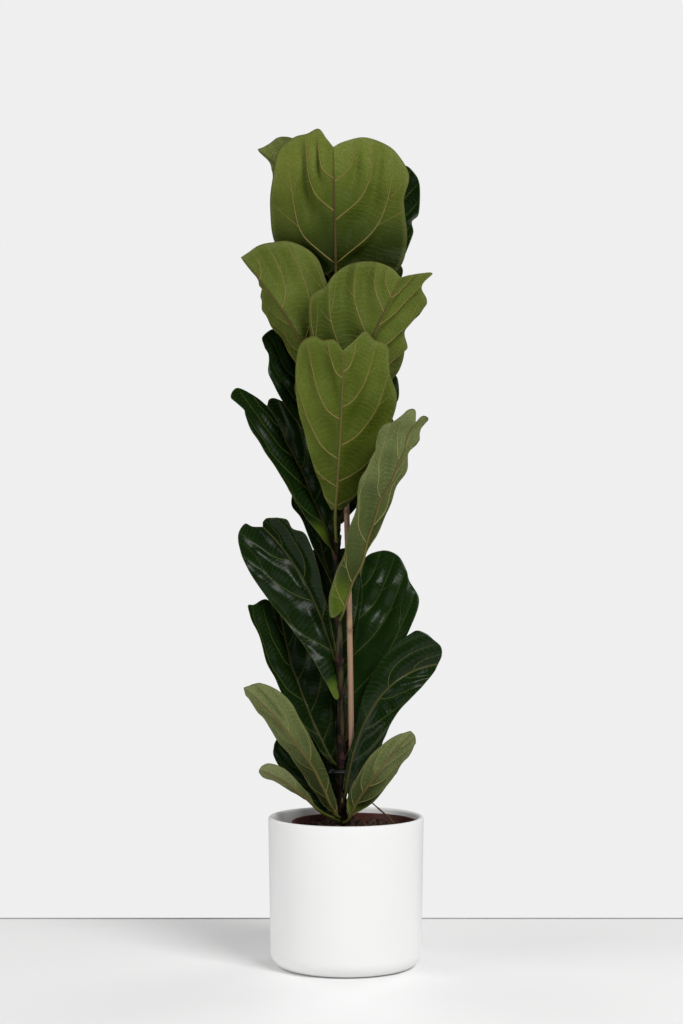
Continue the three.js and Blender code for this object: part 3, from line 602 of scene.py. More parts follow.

# %% [markdown]
# ## Where the leaves grow
# The rows below are those of the CAD source, so each fine leaf lies on its solid. A row gives the height of
# the leaf's node on the stem, the outlines of its two halves, the base, middle and tip of the midrib, the
# compass direction its upper side looks to and the half widths. The rest is said where a leaf is unlike most:
# the folds, the extra fold of the ears at its base, the veins, the relief and the tones, with the painted
# shade and painted light.
#
# An outline is a list of points from base to tip, as (along, across). All begin at (0, 0) and end at (1, 0),
# so these two points are left out of the lists.

# %% Take over the leaf rows
STEM_LINE = [(-6, 0, 40), (-6, 0, 230), (-8, 0, 420), (-11, 0, 520), (-14, -1, 640), (-16, -1, 760),
             (-17, 0, 900), (-17, 0, 1030), (-16, 0, 1100)]
STAKE_LINE = [(9, 0, 45), (9, 0, 311), (7.5, 0, 420), (5, 0, 578), (1, 0, 724), (-2, 0, 850)]
STEM = {"low": 150, "high": 1100, "radius_low": 6.6, "radius_high": 5.0}

OUTLINES = {
    "obovate": [(-.03, .10), (0, .20), (.11, .41), (.20, .54), (.35, .68), (.50, .85), (.67, 1),
                (.86, .97), (1, .85), (1.08, .58), (1.09, .34), (1.05, .12)],
    "round": [(-.03, .10), (0, .20), (.10, .38), (.20, .52), (.33, .68), (.47, .84), (.62, .97),
              (.76, 1), (.88, .84), (.96, .58), (1.02, .36), (1.03, .16)],
    "lobed": [(-.06, .16), (0, .34), (.10, .40), (.22, .46), (.36, .62), (.50, .80), (.60, .97),
              (.74, .90), (.86, 1), (.96, .76), (1.04, .46), (1.03, .16)],
    "wedge": [(-.03, .10), (.05, .17), (.13, .26), (.26, .44), (.40, .62), (.54, .80), (.67, .96),
              (.77, 1), (.87, .85), (.97, .70), (1.05, .44), (1.04, .14)],
    "ovate": [(-.08, .18), (-.08, .45), (0, .72), (.12, .90), (.27, .98), (.40, 1), (.55, .98),
              (.64, .86), (.74, .90), (.98, .63), (1.06, .36), (1.07, .16)],
    "paddle": [(-.03, .20), (.01, .40), (.10, .58), (.22, .70), (.36, .80), (.50, .90), (.64, .97),
               (.78, 1), (.89, .88), (.95, .64), (.98, .40), (.99, .20)],
    "crown": [(-.07, .16), (-.06, .42), (0, .66), (.12, .88), (.28, .98), (.54, 1), (.82, .92),
              (.99, .82), (1.08, .60), (1.11, .40), (1.15, .22), (1.07, .10)],
    "broad": [(-.07, .16), (-.12, .42), (-.09, .76), (.05, .92), (.24, .96), (.40, .94),
              (.55, .93), (.74, 1), (.92, .85), (1.01, .68), (1.07, .41), (1.04, .14)],
    "sickle": [(-.05, .18), (0, .32), (.10, .42), (.22, .54), (.34, .86), (.47, 1), (.62, .84),
               (.76, .50), (.82, .27), (.88, .11), (.93, .07), (.97, .05)],
    "peak": [(-.03, .12), (0, .24), (.10, .45), (.20, .62), (.33, .78), (.46, .88), (.62, 1),
             (.77, .98), (.87, .83), (.93, .64), (.95, .42), (.97, .18)],
    "gusset": [(-.03, .10), (0, .21), (.10, .41), (.19, .58), (.28, .80), (.40, .99), (.53, 1),
               (.65, .88), (.74, .55), (.82, .14), (.89, .09), (.95, .06)],
    "plume": [(-.03, .11), (0, .22), (.10, .42), (.20, .58), (.33, .75), (.45, .84), (.59, .91),
              (.73, 1), (.87, .84), (.94, .58), (.98, .36), (.99, .17)],
    "heart": [(-.07, .16), (-.12, .42), (-.04, .66), (.12, .73), (.32, .76), (.46, .90), (.59, 1),
              (.70, .88), (.81, .83), (.93, .68), (1.01, .43), (1.03, .18)],
    "bay": [(-.05, .22), (.02, .50), (.12, .82), (.25, .99), (.41, 1), (.56, .84), (.69, .74),
            (.81, .89), (.93, .79), (1.02, .54), (1.13, .63), (1.07, .29)],
    "frill": [(-.06, .18), (0, .36), (.10, .45), (.22, .52), (.36, .70), (.51, .92), (.70, 1),
              (.83, .80), (.90, .85), (.98, .78), (1.03, .40), (1.02, .18)],
    "shield": [(-.03, .10), (0, .22), (.10, .38), (.22, .55), (.38, .76), (.57, .94), (.80, 1),
               (1.02, .92), (1.10, .64), (1.07, .42), (1.08, .21), (1.04, .08)],
    "kite": [(-.03, .10), (-.01, .27), (.09, .44), (.19, .57), (.32, .73), (.49, .91), (.66, 1),
             (.84, .86), (1.02, .82), (1.07, .58), (1.14, .40), (1.06, .18)],
    "beak": [(-.05, .20), (0, .34), (.10, .44), (.22, .57), (.36, .71), (.50, .84), (.71, .92),
             (.91, .96), (1.05, .80), (1.14, 1), (1.20, .62), (1.11, .25)],
    "ruffled": [(-.06, .22), (.01, .48), (.09, .58), (.20, .60), (.33, .65), (.48, .74),
                (.58, .93), (.74, .74), (.87, 1), (.97, .56), (1.06, .42), (1.08, .20)],
    "strap": [(-.03, .10), (0, .22), (.10, .42), (.20, .56), (.33, .71), (.47, .85), (.62, .97),
              (.79, 1), (.93, .72), (1.02, .84), (1.05, .58), (1.05, .21)],
    "swept": [(-.03, .10), (0, .20), (.10, .30), (.22, .36), (.36, .44), (.50, .62), (.62, .85),
              (.73, 1), (.82, .80), (.90, .85), (1, .46), (1.02, .18)],
    "eared": [(-.20, .14), (-.24, .32), (-.13, .44), (-.01, .57), (.13, .67), (.30, .83),
              (.50, .98), (.73, 1), (.95, .86), (1.09, .57), (1.12, .24), (1.06, .16)],
    "scallop": [(-.03, .10), (.05, .19), (.13, .33), (.25, .51), (.42, .71), (.59, .91), (.77, 1),
                (.89, .81), (.96, .74), (1.05, .58), (1.08, .36), (1.05, .13)],
    "shoulder": [(-.03, .10), (.05, .16), (.13, .25), (.26, .39), (.40, .54), (.54, .71),
                 (.71, .91), (.87, 1), (.96, .89), (1.02, .65), (1.06, .39), (1.05, .15)],
    "hooked": [(-.03, .10), (.02, .20), (.13, .27), (.27, .40), (.42, .56), (.56, .69), (.70, .78),
               (.82, .83), (.95, .94), (1.05, 1), (1.06, .80), (1.10, .40)],
    "keel": [(-.03, .10), (0, .22), (.08, .45), (.15, .68), (.22, .90), (.30, 1), (.41, .98),
             (.52, .94), (.65, .92), (.78, .80), (.89, .55), (.96, .29)],
    "hump": [(-.03, .08), (.08, .11), (.24, .13), (.42, .14), (.58, .24), (.71, .46), (.82, .79),
             (.90, 1), (.95, .88), (.99, .66), (1.03, .46), (1.03, .22)],
    "spoon": [(-.03, .22), (.02, .42), (.10, .62), (.20, .80), (.33, .94), (.47, 1), (.60, .95),
              (.72, .86), (.84, .66), (.91, .54), (.95, .38), (.98, .18)],
    "trough": [(-.03, .14), (.01, .24), (.08, .34), (.20, .48), (.35, .65), (.50, .80), (.62, .90),
               (.75, 1), (.86, .93), (.93, .71), (.96, .45), (.98, .21)],
    "oar": [(-.03, .14), (.03, .24), (.10, .34), (.20, .44), (.31, .54), (.43, .66), (.55, .82),
            (.66, .96), (.76, 1), (.86, .86), (.93, .62), (.98, .32)],
    "lance": [(-.03, .22), (.01, .45), (.08, .66), (.18, .84), (.29, .96), (.42, 1), (.54, .97),
              (.66, .94), (.78, .88), (.87, .66), (.94, .38), (.99, .18)],
    "belly": [(-.03, .15), (.01, .32), (.07, .48), (.16, .62), (.25, .76), (.36, .90), (.48, 1),
              (.62, .88), (.74, .80), (.85, .70), (.93, .51), (.98, .26)],
}
VEIN_STARTS = np.array([0, 0, 0, .015, .03, .08, .16, .28, .44, .60, .75, .87, .95, 1])
LAST_STATION = 13.0
# Some numbers paint light: painted shade on the upper face, at the blade's foot, and painted light at the
# tip.
USUAL = {"folds": (10, 12), "ears": (20, 20), "veins": ((.0, .10, .28, .50, .74), (.0, .14, .36, .60, .82)),
         "rise": ((.80, 1.05, 4), (.80, 1.05, 4)), "pucker": 0.08, "dents": 3.6, "dome": 3,
         "sage": 0.2, "dark": 0.5, "foot": 0.5, "glow": 0.4, "young": {}}
# Leaves low in deep shade: more painted shade at the foot, higher pillows, a greyer underside.
SHADED = {"foot": 1.2, "pucker": 0.14, "sage": 0.7}
YOUNG_FOOT = {0: (.03, .16), 1: (.03, .16)}
FLAT = (0, 0)


def leaf(node, outlines, base, mid, tip, face, half_widths, twist=0, **unusual):
    """One leaf. Its face looks to the compass direction `face` at the base and to face + twist at the tip."""
    row = {"node": node, "outlines": outlines.split(), "base": base, "mid": mid, "tip": tip,
           "face": (face, face + twist), "half_widths": half_widths}
    return {**USUAL, **row, **unusual}


LEAVES = [
    leaf(1085, "crown broad", (-16, -14, 1104), (-18, -38, 1195), (-20, -60, 1285), 90, (104, 120),
         folds=(12, 8), ears=FLAT, veins=((.03, .47, .74), (.03, .39, .71)),
         rise=((.75, .72, 9), (.75, .86, 7.5)), sage=0.05, dome=18, pucker=0.13, foot=1.3, glow=1.25),
    leaf(1060, "sickle peak", (-22, 8, 1090), (-71, 17, 1213), (-142, 30, 1297), 60, (38, 58),
         sage=0.3, foot=0.6),
    leaf(1045, "ovate round", (-8, 16, 1075), (30, 54, 1180), (76, 84, 1272), 260, (82, 50),
         folds=(2, 15), ears=FLAT, dark=1.2, pucker=0.04, dents=2.5),
    leaf(985, "round round", (-15, 14, 1000), (-20, 44, 1090), (-28, 62, 1165), 275, (60, 60)),
    leaf(935, "round lobed", (-10, 14, 950), (4, 74, 1060), (18, 124, 1140), 262, (85, 74)),
    leaf(905, "lobed round", (-18, 12, 918), (-46, 76, 1020), (-72, 128, 1085), 305, (60, 46)),
    leaf(872, "gusset plume", (-24, -12, 887), (-87, -26, 1013), (-166, -38, 1116), 75, (55, 91),
         folds=(45, 15), sage=0.1, dome=8, pucker=0.11),
    leaf(868, "heart bay", (-8, -26, 885), (38, -50, 985), (86, -66, 1082), 100, (113, 106),
         folds=(5, 42), ears=(-5, 20), veins=((.0, .21, .49, .72, .84), (.05, .33, .62, .84)),
         rise=((.90, 1.22, 6), (1.0, 1.40, 4)), sage=0.1, dome=10, pucker=0.19, foot=1.0, glow=0.6),
    leaf(820, "round round", (-10, 12, 835), (26, 54, 930), (58, 90, 1000), 258, (36, 52)),
    leaf(770, "round frill", (-26, 10, 790), (-62, 40, 905), (-102, 64, 1008), 285, (42, 56),
         folds=(20, 20)),
    leaf(752, "obovate wedge", (-12, 22, 768), (2, 88, 876), (12, 130, 944), 265, (80, 62),
         folds=(4, 12), ears=FLAT),
    leaf(690, "round round", (-8, 13, 706), (26, 18, 800), (54, 34, 880), 250, (44, 26),
         folds=(15, 15), ears=FLAT),
    leaf(668, "shield kite", (-16, -22, 727), (-8, -62, 857), (-5, -86, 967), 90, (76, 88),
         folds=(12, 12), veins=((.0, .11, .28, .52, .80), (.0, .14, .36, .60, .84)),
         rise=((.34, 1.16, 3), (.34, 1.16, 3)), sage=0.05, dome=10, pucker=0.12, foot=0.3),
    leaf(640, "round beak", (-22, 8, 662), (-72, 24, 785), (-127, 40, 887), 300, (44, 65),
         folds=(22, 20), dark=0.8, young={1: (.08, .20)}),
    leaf(588, "round round", (-20, 10, 600), (-48, 58, 690), (-76, 98, 755), 310, (42, 42)),
    leaf(545, "ruffled strap", (-2, -25, 568), (56, -60, 737), (109, -86, 855), 125, (55, 65),
         folds=(0, 38), sage=0.65, pucker=0.13, dents=6, foot=1.25, glow=0.9, young=YOUNG_FOOT),
    leaf(478, "swept eared", (-20, 8, 491), (-68, 16, 610), (-133, 24, 694), 270, (59, 66),
         folds=(42, 8), veins=((.0, .22, .50, .78), (.02, .34, .66)), dark=0.9, young={1: (-.18, -.10)}),
    leaf(428, "obovate obovate", (-12, 13, 440), (-16, 34, 545), (-22, 54, 640), 275, (44, 60)),
    leaf(350, "scallop shoulder", (2, 20, 364), (12, 50, 513), (27, 80, 640), 270, (99, 71),
         folds=(6, 6), ears=FLAT, veins=((.0, .18, .40, .60, .80), (.0, .14, .34, .56, .78)),
         rise=((1.05, 1.10, 4), (1.05, 1.10, 4)), dark=0.0, pucker=0.10, dents=5),
    leaf(324, "round round", (6, 24, 342), (36, 74, 440), (60, 112, 530), 255, (36, 40)),
    leaf(313, "round hooked", (-24, 13, 326), (-78, 34, 448), (-106, 54, 556), 290, (62, 69),
         folds=(15, 25), dark=0.8),
    leaf(285, "round round", (-10, 20, 300), (-24, 42, 372), (-40, 66, 436), 275, (22, 38), folds=(15, 12)),
    leaf(262, "keel hump", (2, -14, 290), (52, -6, 422), (146, 8, 476), 262, (40, 60),
         folds=(10, 6), ears=FLAT, dark=0.8),
    leaf(250, "round round", (8, 16, 266), (22, 48, 330), (36, 78, 386), 255, (38, 26)),
    leaf(248, "paddle paddle", (-16, 12, 258), (-46, 46, 322), (-76, 78, 370), 320, (22, 30)),
    leaf(240, "round round", (-8, 15, 249), (-10, 68, 322), (-12, 114, 380), 265, (28, 26)),
    leaf(232, "spoon trough", (-18, -20, 244), (-76, -60, 356), (-158, -97, 446), 70, (31, 32), twist=-10,
         folds=(15, 45), ears=(10, 0), glow=0.8, **SHADED),
    leaf(230, "paddle paddle", (-22, 0, 244), (-64, -5, 300), (-106, -12, 365), 290, (26, 30),
         folds=(15, 15)),
    leaf(226, "oar oar", (-53, -46, 261), (-90, -64, 295), (-134, -84, 318), 70, (14, 17),
         folds=(20, 20), sage=0.9, foot=0.7, glow=0.8),
    leaf(224, "lance belly", (7, -32, 240), (46, -56, 311), (103, -84, 375), 110, (21, 41), twist=10,
         folds=(35, 10), glow=1.0, young=YOUNG_FOOT, **SHADED),
]
for number, row in enumerate(LEAVES):
    row["phase"] = 1.3 * number
    row["seed"] = 100 + number
print("leaves:", len(LEAVES))

# %% [markdown]
# ## The shape of a blade
# A blade could be sculpted, or bent out of a plane with a lattice. A formula is used instead, because thirty
# leaves of one kind differ only in their numbers.
#
# A blade hangs on its midrib, a parabola through three points. Two numbers say where a point of a half is:
# `along`, in blade lengths up the midrib, and `across`, in half widths out from it. A side vein is a curve of
# `along` over `across`. Between two veins the blade puffs up towards its upper side, so the veins lie in
# valleys.

# %% Work out a blade's surface
WAVE = {"height": 3, "count": 2.2, "shift": 1.9}
GUTTER = {"depth": 1.2, "reach": 7}
RUN = {"fall": 0.35, "bow": 4}
EAR_LENGTH = 0.22
HALF_THICKNESS = 0.45
OUTER_STEP = 0.2


def outline_at(name, station):
    """Catmull-Rom curve through an outline's points, whose ends are mirrored to carry it on."""
    p = np.array([(0, 0), *OUTLINES[name], (1, 0)])
    p = np.concatenate([[2 * p[0] - p[1]], p, [2 * p[-1] - p[-2]]])
    i = np.minimum(station.astype(int), len(p) - 4)
    f = (station - i)[..., None]
    a, b, c, d = (p[i + k] for k in range(4))
    curve = 2 * b + (c - a) * f + (2 * a - 5 * b + 4 * c - d) * f ** 2 + (3 * b - a - 3 * c + d) * f ** 3
    return curve[..., 0] / 2, curve[..., 1] / 2


def midrib_at(row, along):
    """Parabola through base, middle and tip; straight on past both ends. Gives points and directions."""
    base, mid, tip = (np.array(row[key], dtype=float) for key in ("base", "mid", "tip"))
    slope, curve = 4 * mid - 3 * base - tip, 2 * (base - 2 * mid + tip)
    inside = np.clip(along, 0, 1)[..., None]
    direction = slope + 2 * curve * inside
    point = base + slope * inside + curve * inside ** 2
    return point + direction * (along[..., None] - inside), unit(direction)


def blade_length(row):
    return np.linalg.norm(np.subtract(row["tip"], row["base"]))


def vein_line(row, half, start, across):
    """along = start + (width / length)(lean x across + (across / turn)^power): out, then up.

    A vein that starts nearer the tip turns up sooner: turn = the row's turn x (1 - start)^0.75.
    """
    lean, turn, power = row["rise"][half]
    turn = turn * (1 - start) ** 0.75
    return start + row["half_widths"][half] / blade_length(row) * (lean * across + (across / turn) ** power)


def vein_field(row, half, along, across):
    """Phase, gap and run of each place.

    Phase is whole on each side vein and between two is the share of the way from one to the next. Gap is
    their distance in mm, square to them. Run is even along a cross vein: length x along + 0.35 width x across
    - 4 sin(pi phase)^2 in mm, so cross veins fall a little towards the edge and are bowed up.
    """
    starts = np.array(row["veins"][half])
    length, width = blade_length(row), row["half_widths"][half]

    def lines_at(x):
        lines = vein_line(row, half, starts.reshape(-1, *[1] * x.ndim), x)
        return np.concatenate([lines[:1] - OUTER_STEP, lines, lines[-1:] + OUTER_STEP])

    lines = lines_at(across)
    below = np.clip((along >= lines).sum(axis=0) - 1, 0, len(starts))[None]
    low, high = (np.take_along_axis(lines, below + k, axis=0)[0] for k in (0, 1))
    ahead = np.take_along_axis(lines_at(across + 0.001), below, axis=0)[0]
    steep = (ahead - low) / 0.001 * length / width
    phase = np.clip(below[0] - 1 + np.clip((along - low) / (high - low), 0, 1), -0.5, len(starts) - 0.5)
    gap = (high - low) * length / np.sqrt(1 + steep ** 2)
    run = length * along + RUN["fall"] * width * across - RUN["bow"] * np.sin(np.pi * phase) ** 2
    return phase, np.clip(gap, 0, 90), run


def relief_at(row, side, along, across):
    """Height in mm above the plain blade: pillows, a gutter on the midrib and seeded dents.

    Pillow = pucker x gap x (sin(pi phase)^2 + 0.02)^0.7, so its height grows with the veins' distance, it is
    round on top and its valleys are narrow. Below the first side vein it is twice as high. It fades out at
    the midrib and towards the tip.
    """
    half = 0 if side > 0 else 1
    length, width = blade_length(row), row["half_widths"][half]
    phase, gap, _ = vein_field(row, half, along, across)
    distance = across * width
    outside = 1 + smoothstep(-phase, 0, 0.5)
    pillow = row["pucker"] * gap * outside * (np.sin(np.pi * phase) ** 2 + 0.02) ** 0.7
    pillow = pillow * smoothstep(across, 0, 0.25) * smoothstep(1.12 - along, 0, 0.32)
    gutter = -GUTTER["depth"] * np.exp(-(distance / GUTTER["reach"]) ** 2)
    dents = row["dents"] * ripples(along * length, distance * side, 34, 110, 12, row["seed"])
    return pillow + (gutter + dents) * smoothstep(along, 0, 0.1) * smoothstep(1.06 - along, 0, 0.1)


def blade_points(row, side, along, across):
    """Middle surface of one half (side 1 or -1) and the direction of its upper face.

    Point = midrib(along) + outward x distance cos(fold) + upper x (distance sin(fold) + wave + dome), plus
    the relief along the upper face's normal.
    """
    half = 0 if side > 0 else 1
    along, across = np.broadcast_arrays(np.asarray(along, float), np.asarray(across, float))
    inside = np.clip(along, 0, 1)
    rib, tangent = midrib_at(row, along)
    face = np.radians(row["face"][0] + (row["face"][1] - row["face"][0]) * inside)
    upper = np.stack([np.cos(face), np.sin(face), 0 * face], axis=-1)
    upper = unit(upper - tangent * np.sum(upper * tangent, axis=-1, keepdims=True))
    outward = np.cross(tangent, upper) * side
    fold = np.radians(row["folds"][half] + row["ears"][half] * np.maximum(0, 1 - inside / EAR_LENGTH) ** 2)
    distance = across * row["half_widths"][half]
    wave = WAVE["height"] * across ** 2 * np.sin(
        2 * np.pi * WAVE["count"] * along + row["phase"] + (0 if side > 0 else WAVE["shift"]))
    dome = row["dome"] * (across ** 2 + (np.maximum(along - 0.4, 0) / 0.6) ** 2) * smoothstep(along, 0, 0.15)
    bend = fold * (1 - np.exp(-distance / 5))
    normal = unit(upper * np.cos(bend)[..., None] - outward * np.sin(bend)[..., None])
    lift = distance * np.sin(fold) + wave + dome
    point = rib + outward * (distance * np.cos(fold))[..., None] + upper * lift[..., None]
    return point + normal * relief_at(row, side, along, across)[..., None], normal


# %% [markdown]
# ## One leaf as a closed mesh
# The two faces of a blade are one grid each, from the edge of the first half over the midrib to the edge of
# the second. Both grids come to a point at base and tip. The corner numbers tell the finishes where a point
# lies: its phase between the side veins, and its distances from the midrib and from the rim in millimetres.
# The Solidify modifier could give the thickness. Both faces are written out here, so that the blade can thin
# out towards its rim.

# %% Mesh a blade
ROWS, COLUMNS = 134, 27
EDGE_THINNING = 0.35


def blade_grid(row, half, station, u):
    """Places on lines from the midrib to the outline: along = start + (edge's along - start) u^1.5."""
    edge_along, edge_across = outline_at(row["outlines"][half], station)
    start = np.interp(station, np.arange(len(VEIN_STARTS)), VEIN_STARTS)
    return start + (edge_along - start) * u ** 1.5, edge_across * u


def half_numbers(row, half, along, across, point, u):
    """Corner numbers of one half, each on its grid."""
    phase, gap, run = vein_field(row, half, along, across)
    reach = np.linalg.norm(point[:, -1] - point[:, 0], axis=-1)[:, None]
    return {"vein_phase": phase, "vein_gap": gap, "vein_run": run, "along": along,
            "rib_distance": across * row["half_widths"][half], "rim_distance": reach * (1 - u),
            # Bright green at the foot of some blades: young tissue, and painted light shining through it.
            "young": 1 - smoothstep(along, *row["young"].get(half, (-2, -1))),
            # Painted shade at the blade's foot and painted light towards its tip.
            "foot": row["foot"] * (1 - smoothstep(along, 0, 0.75)),
            "glow": row["glow"] * smoothstep(along, 0.5, 1.05)}


def strip_faces(ids):
    """Faces of a grid whose first and last row are one point each: quads between, triangles at the ends."""
    first = np.stack([ids[0, :-1], ids[1, :-1], ids[1, 1:]], axis=-1)
    last = np.stack([ids[-2, :-1], ids[-1, :-1], ids[-2, 1:]], axis=-1)
    return quads(ids[1:-1]), first, last


def blade_parts(row, upper_look, under_look, rim_look):
    """Upper face, under face and rim of a blade as parts of one closed shell."""
    station = np.linspace(0, LAST_STATION, ROWS)[:, None]
    u = (1 - np.linspace(1, 0, COLUMNS) ** 1.2)[None]
    sides = {}
    for side in (1, -1):
        half = 0 if side > 0 else 1
        along, across = blade_grid(row, half, station, u)
        point, normal = blade_points(row, side, along, across)
        sides[side] = (point, normal, half_numbers(row, half, along, across, point, u))

    def join(first, second):
        return np.concatenate([first[:, ::-1], second[:, 1:]], axis=1)

    point, normal = (join(sides[1][k], sides[-1][k]) for k in (0, 1))
    normal[:, COLUMNS - 1] = unit(sides[1][1][:, 0] + sides[-1][1][:, 0])
    u_all = join(u + 0 * station, u + 0 * station)[..., None]
    half = HALF_THICKNESS * (1 - EDGE_THINNING * u_all ** 6)
    for end in (0, -1):
        point[end], normal[end] = point[end, COLUMNS - 1], normal[end, COLUMNS - 1]
        half[end] = HALF_THICKNESS
    ids = np.arange(half.size).reshape(ROWS, -1)
    ids[0], ids[-1] = ids[0, 0], ids[-1, 0]
    under_ids = ids + half.size
    points = np.concatenate([(point + normal * half).reshape(-1, 3), (point - normal * half).reshape(-1, 3)])
    halves = {side: {key: np.tile(join(value, value).ravel(), 2) for key, value in sides[side][2].items()}
              for side in (1, -1)}

    def face_part(grid_ids, order, look):
        """Both halves of a face; order -1 turns its faces round. The rim part brings the points."""
        blocks = {side: [faces[:, ::order] for faces in strip_faces(grid_ids[:, columns])]
                  for side, columns in ((1, slice(0, COLUMNS)), (-1, slice(COLUMNS - 1, None)))}
        numbers = {key: np.concatenate([at_corners(halves[side][key], blocks[side]) for side in blocks])
                   for key in halves[1]}
        return part(np.zeros((0, 3)), blocks[1] + blocks[-1], look, numbers)

    rims = []
    for column, order in ((0, 1), (-1, -1)):
        top, bottom = ids[:, column], under_ids[:, column]
        wall = np.stack([top[:-1], bottom[:-1], bottom[1:], top[1:]], axis=-1)
        rims.append(wall[:, ::order])
    return [face_part(ids, 1, upper_look), face_part(under_ids, -1, under_look), part(points, rims, rim_look)]


# %% [markdown]
# ## Veins and stalk
# The midrib and the side veins stand out from the underside as ridges and show as fine lines on the upper
# side. Bump could fake them, but real ridges catch the light from the side. They are bars that follow the
# blade's own surface, half sunk in it. The midrib is one bar with the leaf's stalk. A side vein sends
# branches off towards the edge, and each of them bends back to its direction.

# %% Trace the veins
VEIN_POINTS = 20
PATH_STEPS = 600
PATH_SHARE = 0.94
VEIN_RADII = {"main": (1.05, 0.34), "branch": (0.48, 0.2), "upper": 0.48, "sides": 6}
RIB = {"tip": 0.45, "grown": 1.9, "collar": 1.5, "collar_reach": 2.2, "sunk": 0.55, "sides": 10}
STALK = {"reach": 0.38, "out": 0.9, "rise": 0.45, "steps": 22}


def inside_outline(row, half, along, across):
    """True where a line towards the tip crosses the outline an odd number of times."""
    edge_a, edge_x = outline_at(row["outlines"][half], np.linspace(0, LAST_STATION, 131))
    low, high = edge_x[:-1], edge_x[1:]
    x, a = across.reshape(-1, 1), along.reshape(-1, 1)
    spans = (low <= x) != (high <= x)
    share = (x - low) / np.where(high == low, 1, high - low)
    crossing = edge_a[:-1] + share * (edge_a[1:] - edge_a[:-1])
    return ((spans & (crossing > a)).sum(axis=1) % 2 == 1).reshape(along.shape)


def evenly(row, half, along, across, keep):
    """A path almost up to its first place where keep is false, drawn again with VEIN_POINTS even steps."""
    steps = np.hypot(np.diff(along) * blade_length(row), np.diff(across) * row["half_widths"][half])
    travelled = np.concatenate([[0], np.cumsum(steps)])
    keep = keep.copy()
    keep[:3] = True
    last = np.argmin(keep) if not keep.all() else len(keep) - 1
    at = np.linspace(0, PATH_SHARE * travelled[last], VEIN_POINTS)
    return np.stack([np.interp(at, travelled, along), np.interp(at, travelled, across)]), travelled[last]


def main_veins(row, half):
    """Places and lengths in mm of the side veins of one half."""
    across = np.linspace(0, 1.15, PATH_STEPS)
    found = []
    for start in row["veins"][half]:
        along = vein_line(row, half, start, across)
        found.append(evenly(row, half, along, across, inside_outline(row, half, along, across)))
    return [path for path, _ in found], [length for _, length in found]


def branch_veins(row, half, mains, lengths):
    """Branches of the side veins.

    A branch leaves its vein at a seeded share of the length. Its heading, counted from the midrib's
    direction, starts `turn` off the vein's and comes back to 10 % of that; its path is the sum of equal
    steps along the heading. It ends at the edge, or 0.6 of the way to the next vein.
    """
    draw = np.random.default_rng(row["seed"] * 2 + half)
    length, width = blade_length(row), row["half_widths"][half]
    run = np.linspace(0, 1, 80)
    found = []
    for order, (path, total) in enumerate(zip(mains, lengths)):
        outer = [0.38, 0.66] if order == 0 else [0.56]
        for share, turn in [(s, 34) for s in outer] + [(0.7, -24)] * (order < 2):
            share = share + draw.uniform(-0.07, 0.07)
            at = share * (VEIN_POINTS - 1)
            i = int(at)
            place = path[:, i] + (path[:, i + 1] - path[:, i]) * (at - i)
            step = (path[:, i + 1] - path[:, i]) * [length, width]
            heading = np.arctan2(step[1], step[0]) + np.radians(turn) * (1 - 0.9 * run)
            stride = (1.25 - share) * total / len(run)
            along = place[0] + np.concatenate([[0], np.cumsum(stride * np.cos(heading[1:]))]) / length
            across = place[1] + np.concatenate([[0], np.cumsum(stride * np.sin(heading[1:]))]) / width
            phase = vein_field(row, half, along, across)[0]
            keep = inside_outline(row, half, along, across) & (np.abs(phase - order) < 0.6) & (across > 0.05)
            branch, reach = evenly(row, half, along, across, keep)
            if reach > 6:
                found.append(branch)
    return found


def vein_bars(row, side, paths, thick, face, look):
    """Bars along places of one half; face is -1 for the underside and 1 for the upper side."""
    path = np.array(paths)
    point, normal = blade_points(row, side, path[:, 0], path[:, 1])
    centre = point + face * normal * (HALF_THICKNESS + 0.2 * thick)[..., None]
    points, faces = bars(centre, thick + 0 * path[:, 0], VEIN_RADII["sides"])
    return part(points, faces, look)


def vein_parts(row, side, under_look, upper_look):
    """Side veins and branches of one half on both faces; they thin out towards the edge."""
    half = 0 if side > 0 else 1
    mains, lengths = main_veins(row, half)
    branches = branch_veins(row, half, mains, lengths)
    size = min(1.0, row["half_widths"][half] / 90 + 0.3)
    run = np.linspace(0, 1, VEIN_POINTS)
    parts = []
    for paths, (root, end) in ((mains, VEIN_RADII["main"]), (branches, VEIN_RADII["branch"])):
        if paths:
            thick = size * (root + (end - root) * run)
            parts.append(vein_bars(row, side, paths, thick, -1, under_look))
            parts.append(vein_bars(row, side, paths, VEIN_RADII["upper"] * thick, 1, upper_look))
    return parts


def stalk_path(row):
    """Cubic Bezier from the stem's centre: outwards and a little up, then into the line of the midrib."""
    start, end = line_at(STEM_LINE, row["node"]), np.array(row["base"], dtype=float)
    tangent = midrib_at(row, np.zeros(1))[1][0]
    reach = STALK["reach"] * np.linalg.norm(end - start)
    outward = unit((end - start) * [1, 1, 0])
    leave = unit(outward * STALK["out"] + [0, 0, STALK["rise"]])
    t = np.linspace(0, 1, STALK["steps"])[:, None]
    a, b, c, d = start, start + leave * reach, end - tangent * reach, end
    return a * (1 - t) ** 3 + 3 * b * t * (1 - t) ** 2 + 3 * c * t * t * (1 - t) + d * t ** 3


